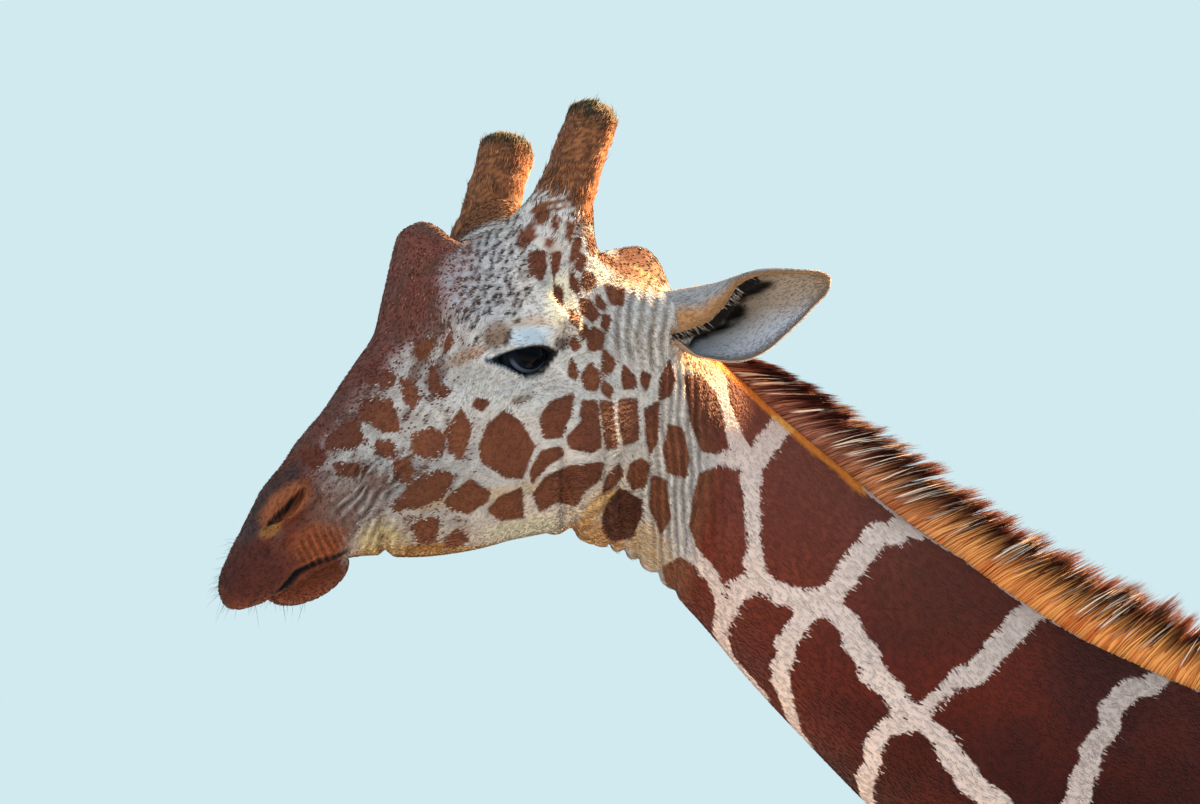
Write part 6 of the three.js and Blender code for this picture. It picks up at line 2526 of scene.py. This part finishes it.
@dataclass(frozen=True)
class Eyes:
    """The eyeballs."""

    radius: float = 29.6

    def build(self, material: Any, side: Side) -> Any:
        """Makes one eyeball: a sphere about the outward axis, raised over the iris.

        Args:
            material: the eye's material.
            side: the side whose eye it is.

        Returns:
            The eyeball's object.
        """
        r = np.linspace(0.02, np.pi - 0.02, 64)
        v = np.linspace(0, 2 * np.pi, 97)[:-1]
        radius = self.radius + 1.7 * ramp(0.72, 0.30, r)
        gaze = unit(np.array([0.16, 1.0, -0.02]))
        a = unit(np.cross(gaze, np.array([0.0, 0.0, 1.0])))
        b = np.cross(a, gaze)
        flat = a * np.cos(v)[:, None] + b * np.sin(v)[:, None]
        way = gaze * np.cos(r)[:, None, None] + flat[None] * np.sin(r)[:, None, None]
        grid = EYE_AT + way * radius[:, None, None]
        piece = Piece(f"eyeball_{side.name.lower()}")
        closed_tube(piece, turned(grid * np.array([1, side.value, 1]), True),
                    spread=np.repeat(r[:, None], 96, 1), eye_v=np.sin(r)[:, None] * np.sin(v)[None])
        return piece.build(material)


@dataclass(frozen=True)
class Hooves:
    """The cloven hooves."""

    cleft: float = 5.0

    def build(self, limb: Limb, side: Side, material: Any) -> Any:
        """Makes one hoof: ellipses down to the sole, notched from the front and a little from behind.

        Args:
            limb: which pair of legs it is of.
            side: which of the pair.
            material: the hoof's material.

        Returns:
            The hoof's object.
        """
        share = np.linspace(0, 1, 2001)
        heights = leg_ring(LEGS[limb], share)[4]
        z_want = join([np.linspace(CORONET + 6, 3, 44), [1.2, 0.0]])
        t = np.interp(-z_want, -heights, share)
        x, deep, wide, y, z = leg_ring(LEGS[limb], t)
        x = x + STRIDES[limb, side] * (1 - z / LEG_TOP)
        w = np.linspace(-1, 1, 129)[:-1]
        v = np.pi * (0.25 * w + 0.75 * w**3)
        tuck = np.where(z_want < 3, (3 - z_want) * 0.9, 0)
        px, py = (deep - 1 - tuck)[:, None] * np.cos(v), (wide - 1 - tuck)[:, None] * np.sin(v)
        front = ramp(self.cleft + 5, self.cleft - 1.5, np.abs(py)) * (px > 0)
        back = ramp(self.cleft + 9, self.cleft - 1, np.abs(py)) * (px < 0)
        px = px - front * np.minimum(80.0, deep[:, None]) * 0.72 - back * px * 0.22
        grid = stack(x[:, None] + px, side.value * (y[:, None] + py), np.repeat(z[:, None], 128, 1))
        piece = Piece(f"hoof_{limb.value}_{side.name.lower()}_horn")
        closed_tube(piece, grid)
        return piece.build(material)


# ---------------------------------------------------------------- main
@dataclass(frozen=True)
class Lamp:
    """A square soft light aimed at the head: its place from there in metres, its size, watts and colour."""

    name: str
    place: Triple
    size: float
    power: float
    colour: Triple
    mirrored: bool  # whether glossy surfaces show it

    def build(self, target: Array) -> None:
        """Sets the light.

        Args:
            target: the point (3,) that it is placed about and faces.
        """
        light = bpy.data.lights.new(self.name, "AREA")
        light.size, light.energy, light.color = self.size, self.power, self.colour
        lamp = bpy.data.objects.new(self.name, light)
        lamp.visible_glossy = self.mirrored
        lamp.location = target + np.array(self.place)
        aim = -np.array(self.place)
        tip = math.atan2(math.hypot(aim[0], aim[1]), -aim[2])
        lamp.rotation_euler = (tip, 0.0, math.atan2(-aim[0], aim[1]))
        bpy.context.scene.collection.objects.link(lamp)


KEY = Lamp("key", (-4.9, -4.4, 3.9), 1.2, 5000.0, (1.0, 0.62, 0.28), True)
FILL = Lamp("fill", (3.5, 6.0, 1.5), 5.0, 260.0, (1.0, 0.95, 0.94), False)
FLOOR_HALF = 60.0  # metres
SKY = (209, 234, 240)


def set_stage() -> None:
    """Sets the pale floor, the soft lights and the camera."""
    mesh = bpy.data.meshes.new("floor")
    corners = [(x * FLOOR_HALF, y * FLOOR_HALF, 0) for x, y in ((-1, -1), (1, -1), (1, 1), (-1, 1))]
    mesh.from_pydata(corners, [], [(0, 1, 2, 3)])
    floor = bpy.data.objects.new("floor", mesh)
    bpy.context.scene.collection.objects.link(floor)
    mesh.materials.append(Paper().make())
    world = bpy.data.worlds.new("studio")
    world.use_nodes = True
    inputs = world.node_tree.nodes["Background"].inputs
    inputs["Color"].default_value, inputs["Strength"].default_value = srgb(*SKY), 1.0
    bpy.context.scene.world = world
    target = placed(AIM)
    camera = bpy.data.cameras.new("camera")
    camera.sensor_width = SENSOR
    camera.lens = SENSOR * AWAY / (FRAME[0] * SCALE)
    camera.clip_start, camera.clip_end = 0.1, 2000.0
    view = bpy.data.objects.new("camera", camera)
    view.location = target + BACK * AWAY / 1000
    view.rotation_euler = (math.pi / 2 + TILT, 0.0, math.pi)
    bpy.context.scene.collection.objects.link(view)
    bpy.context.scene.camera = view
    bpy.context.scene.view_settings.view_transform = "Standard"
    for lamp in (KEY, FILL):
        lamp.build(target)


def main() -> None:
    """Builds every sub-assembly in order."""
    logging.basicConfig(level=logging.INFO, format="%(message)s")
    marks = Markings()
    skin = Skin()
    body = skin.build(marks, Hide().make())
    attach(body, "root")
    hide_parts("head", "neck_upper", "neck_lower", "torso", "foreleg_left", "foreleg_right",
                "hindleg_left", "hindleg_right", "tail")

    def settle(things: Sequence[Any], slot: str, *nodes: str) -> None:
        """Lets pieces ride with the body.

        Args:
            things: the pieces' objects.
            slot: not used.
            nodes: the solids that the first of them stands in for.
        """
        for k, thing in enumerate(things):
            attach(thing, "root")
            if k == 0 and nodes:
                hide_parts(*nodes)
            log.info("%s: %d faces", thing.name, len(thing.data.polygons))

    fur = Fur("coat_hair", 0.75).make()
    settle(Coat().build(body, skin.straight, marks, fur), "hide")
    settle([Bristles().build(skin.grids["head"], fur)], "hide")
    settle(Mane().build(ManeHair().make()), "mane", "mane_upper", "mane_middle", "mane_lower")
    settle(TailTuft().build(TailHair().make()), "tail_tuft", "tail_tuft")
    horn_hair, ear_hair = Fur("horn_hair", 0.7).make(), Fur("ear_hair", 0.8).make()
    eye, hoof = WetEye().make(), HoofHorn().make()
    for side in Side:
        word = side.name.lower()
        settle(Horns().build(marks, horn_hair, side), "horn_hair", f"ossicone_{word}")
        settle(Ears().build(ear_hair, side), "ear", f"ear_{word}")
        settle([Eyes().build(eye, side)], "eye", f"eye_{word}")
        for limb in Limb:
            settle([Hooves().build(limb, side, hoof)], "hoof", f"hoof_{limb.value}_{word}")
    set_stage()


if __name__ == "__main__":
    main()
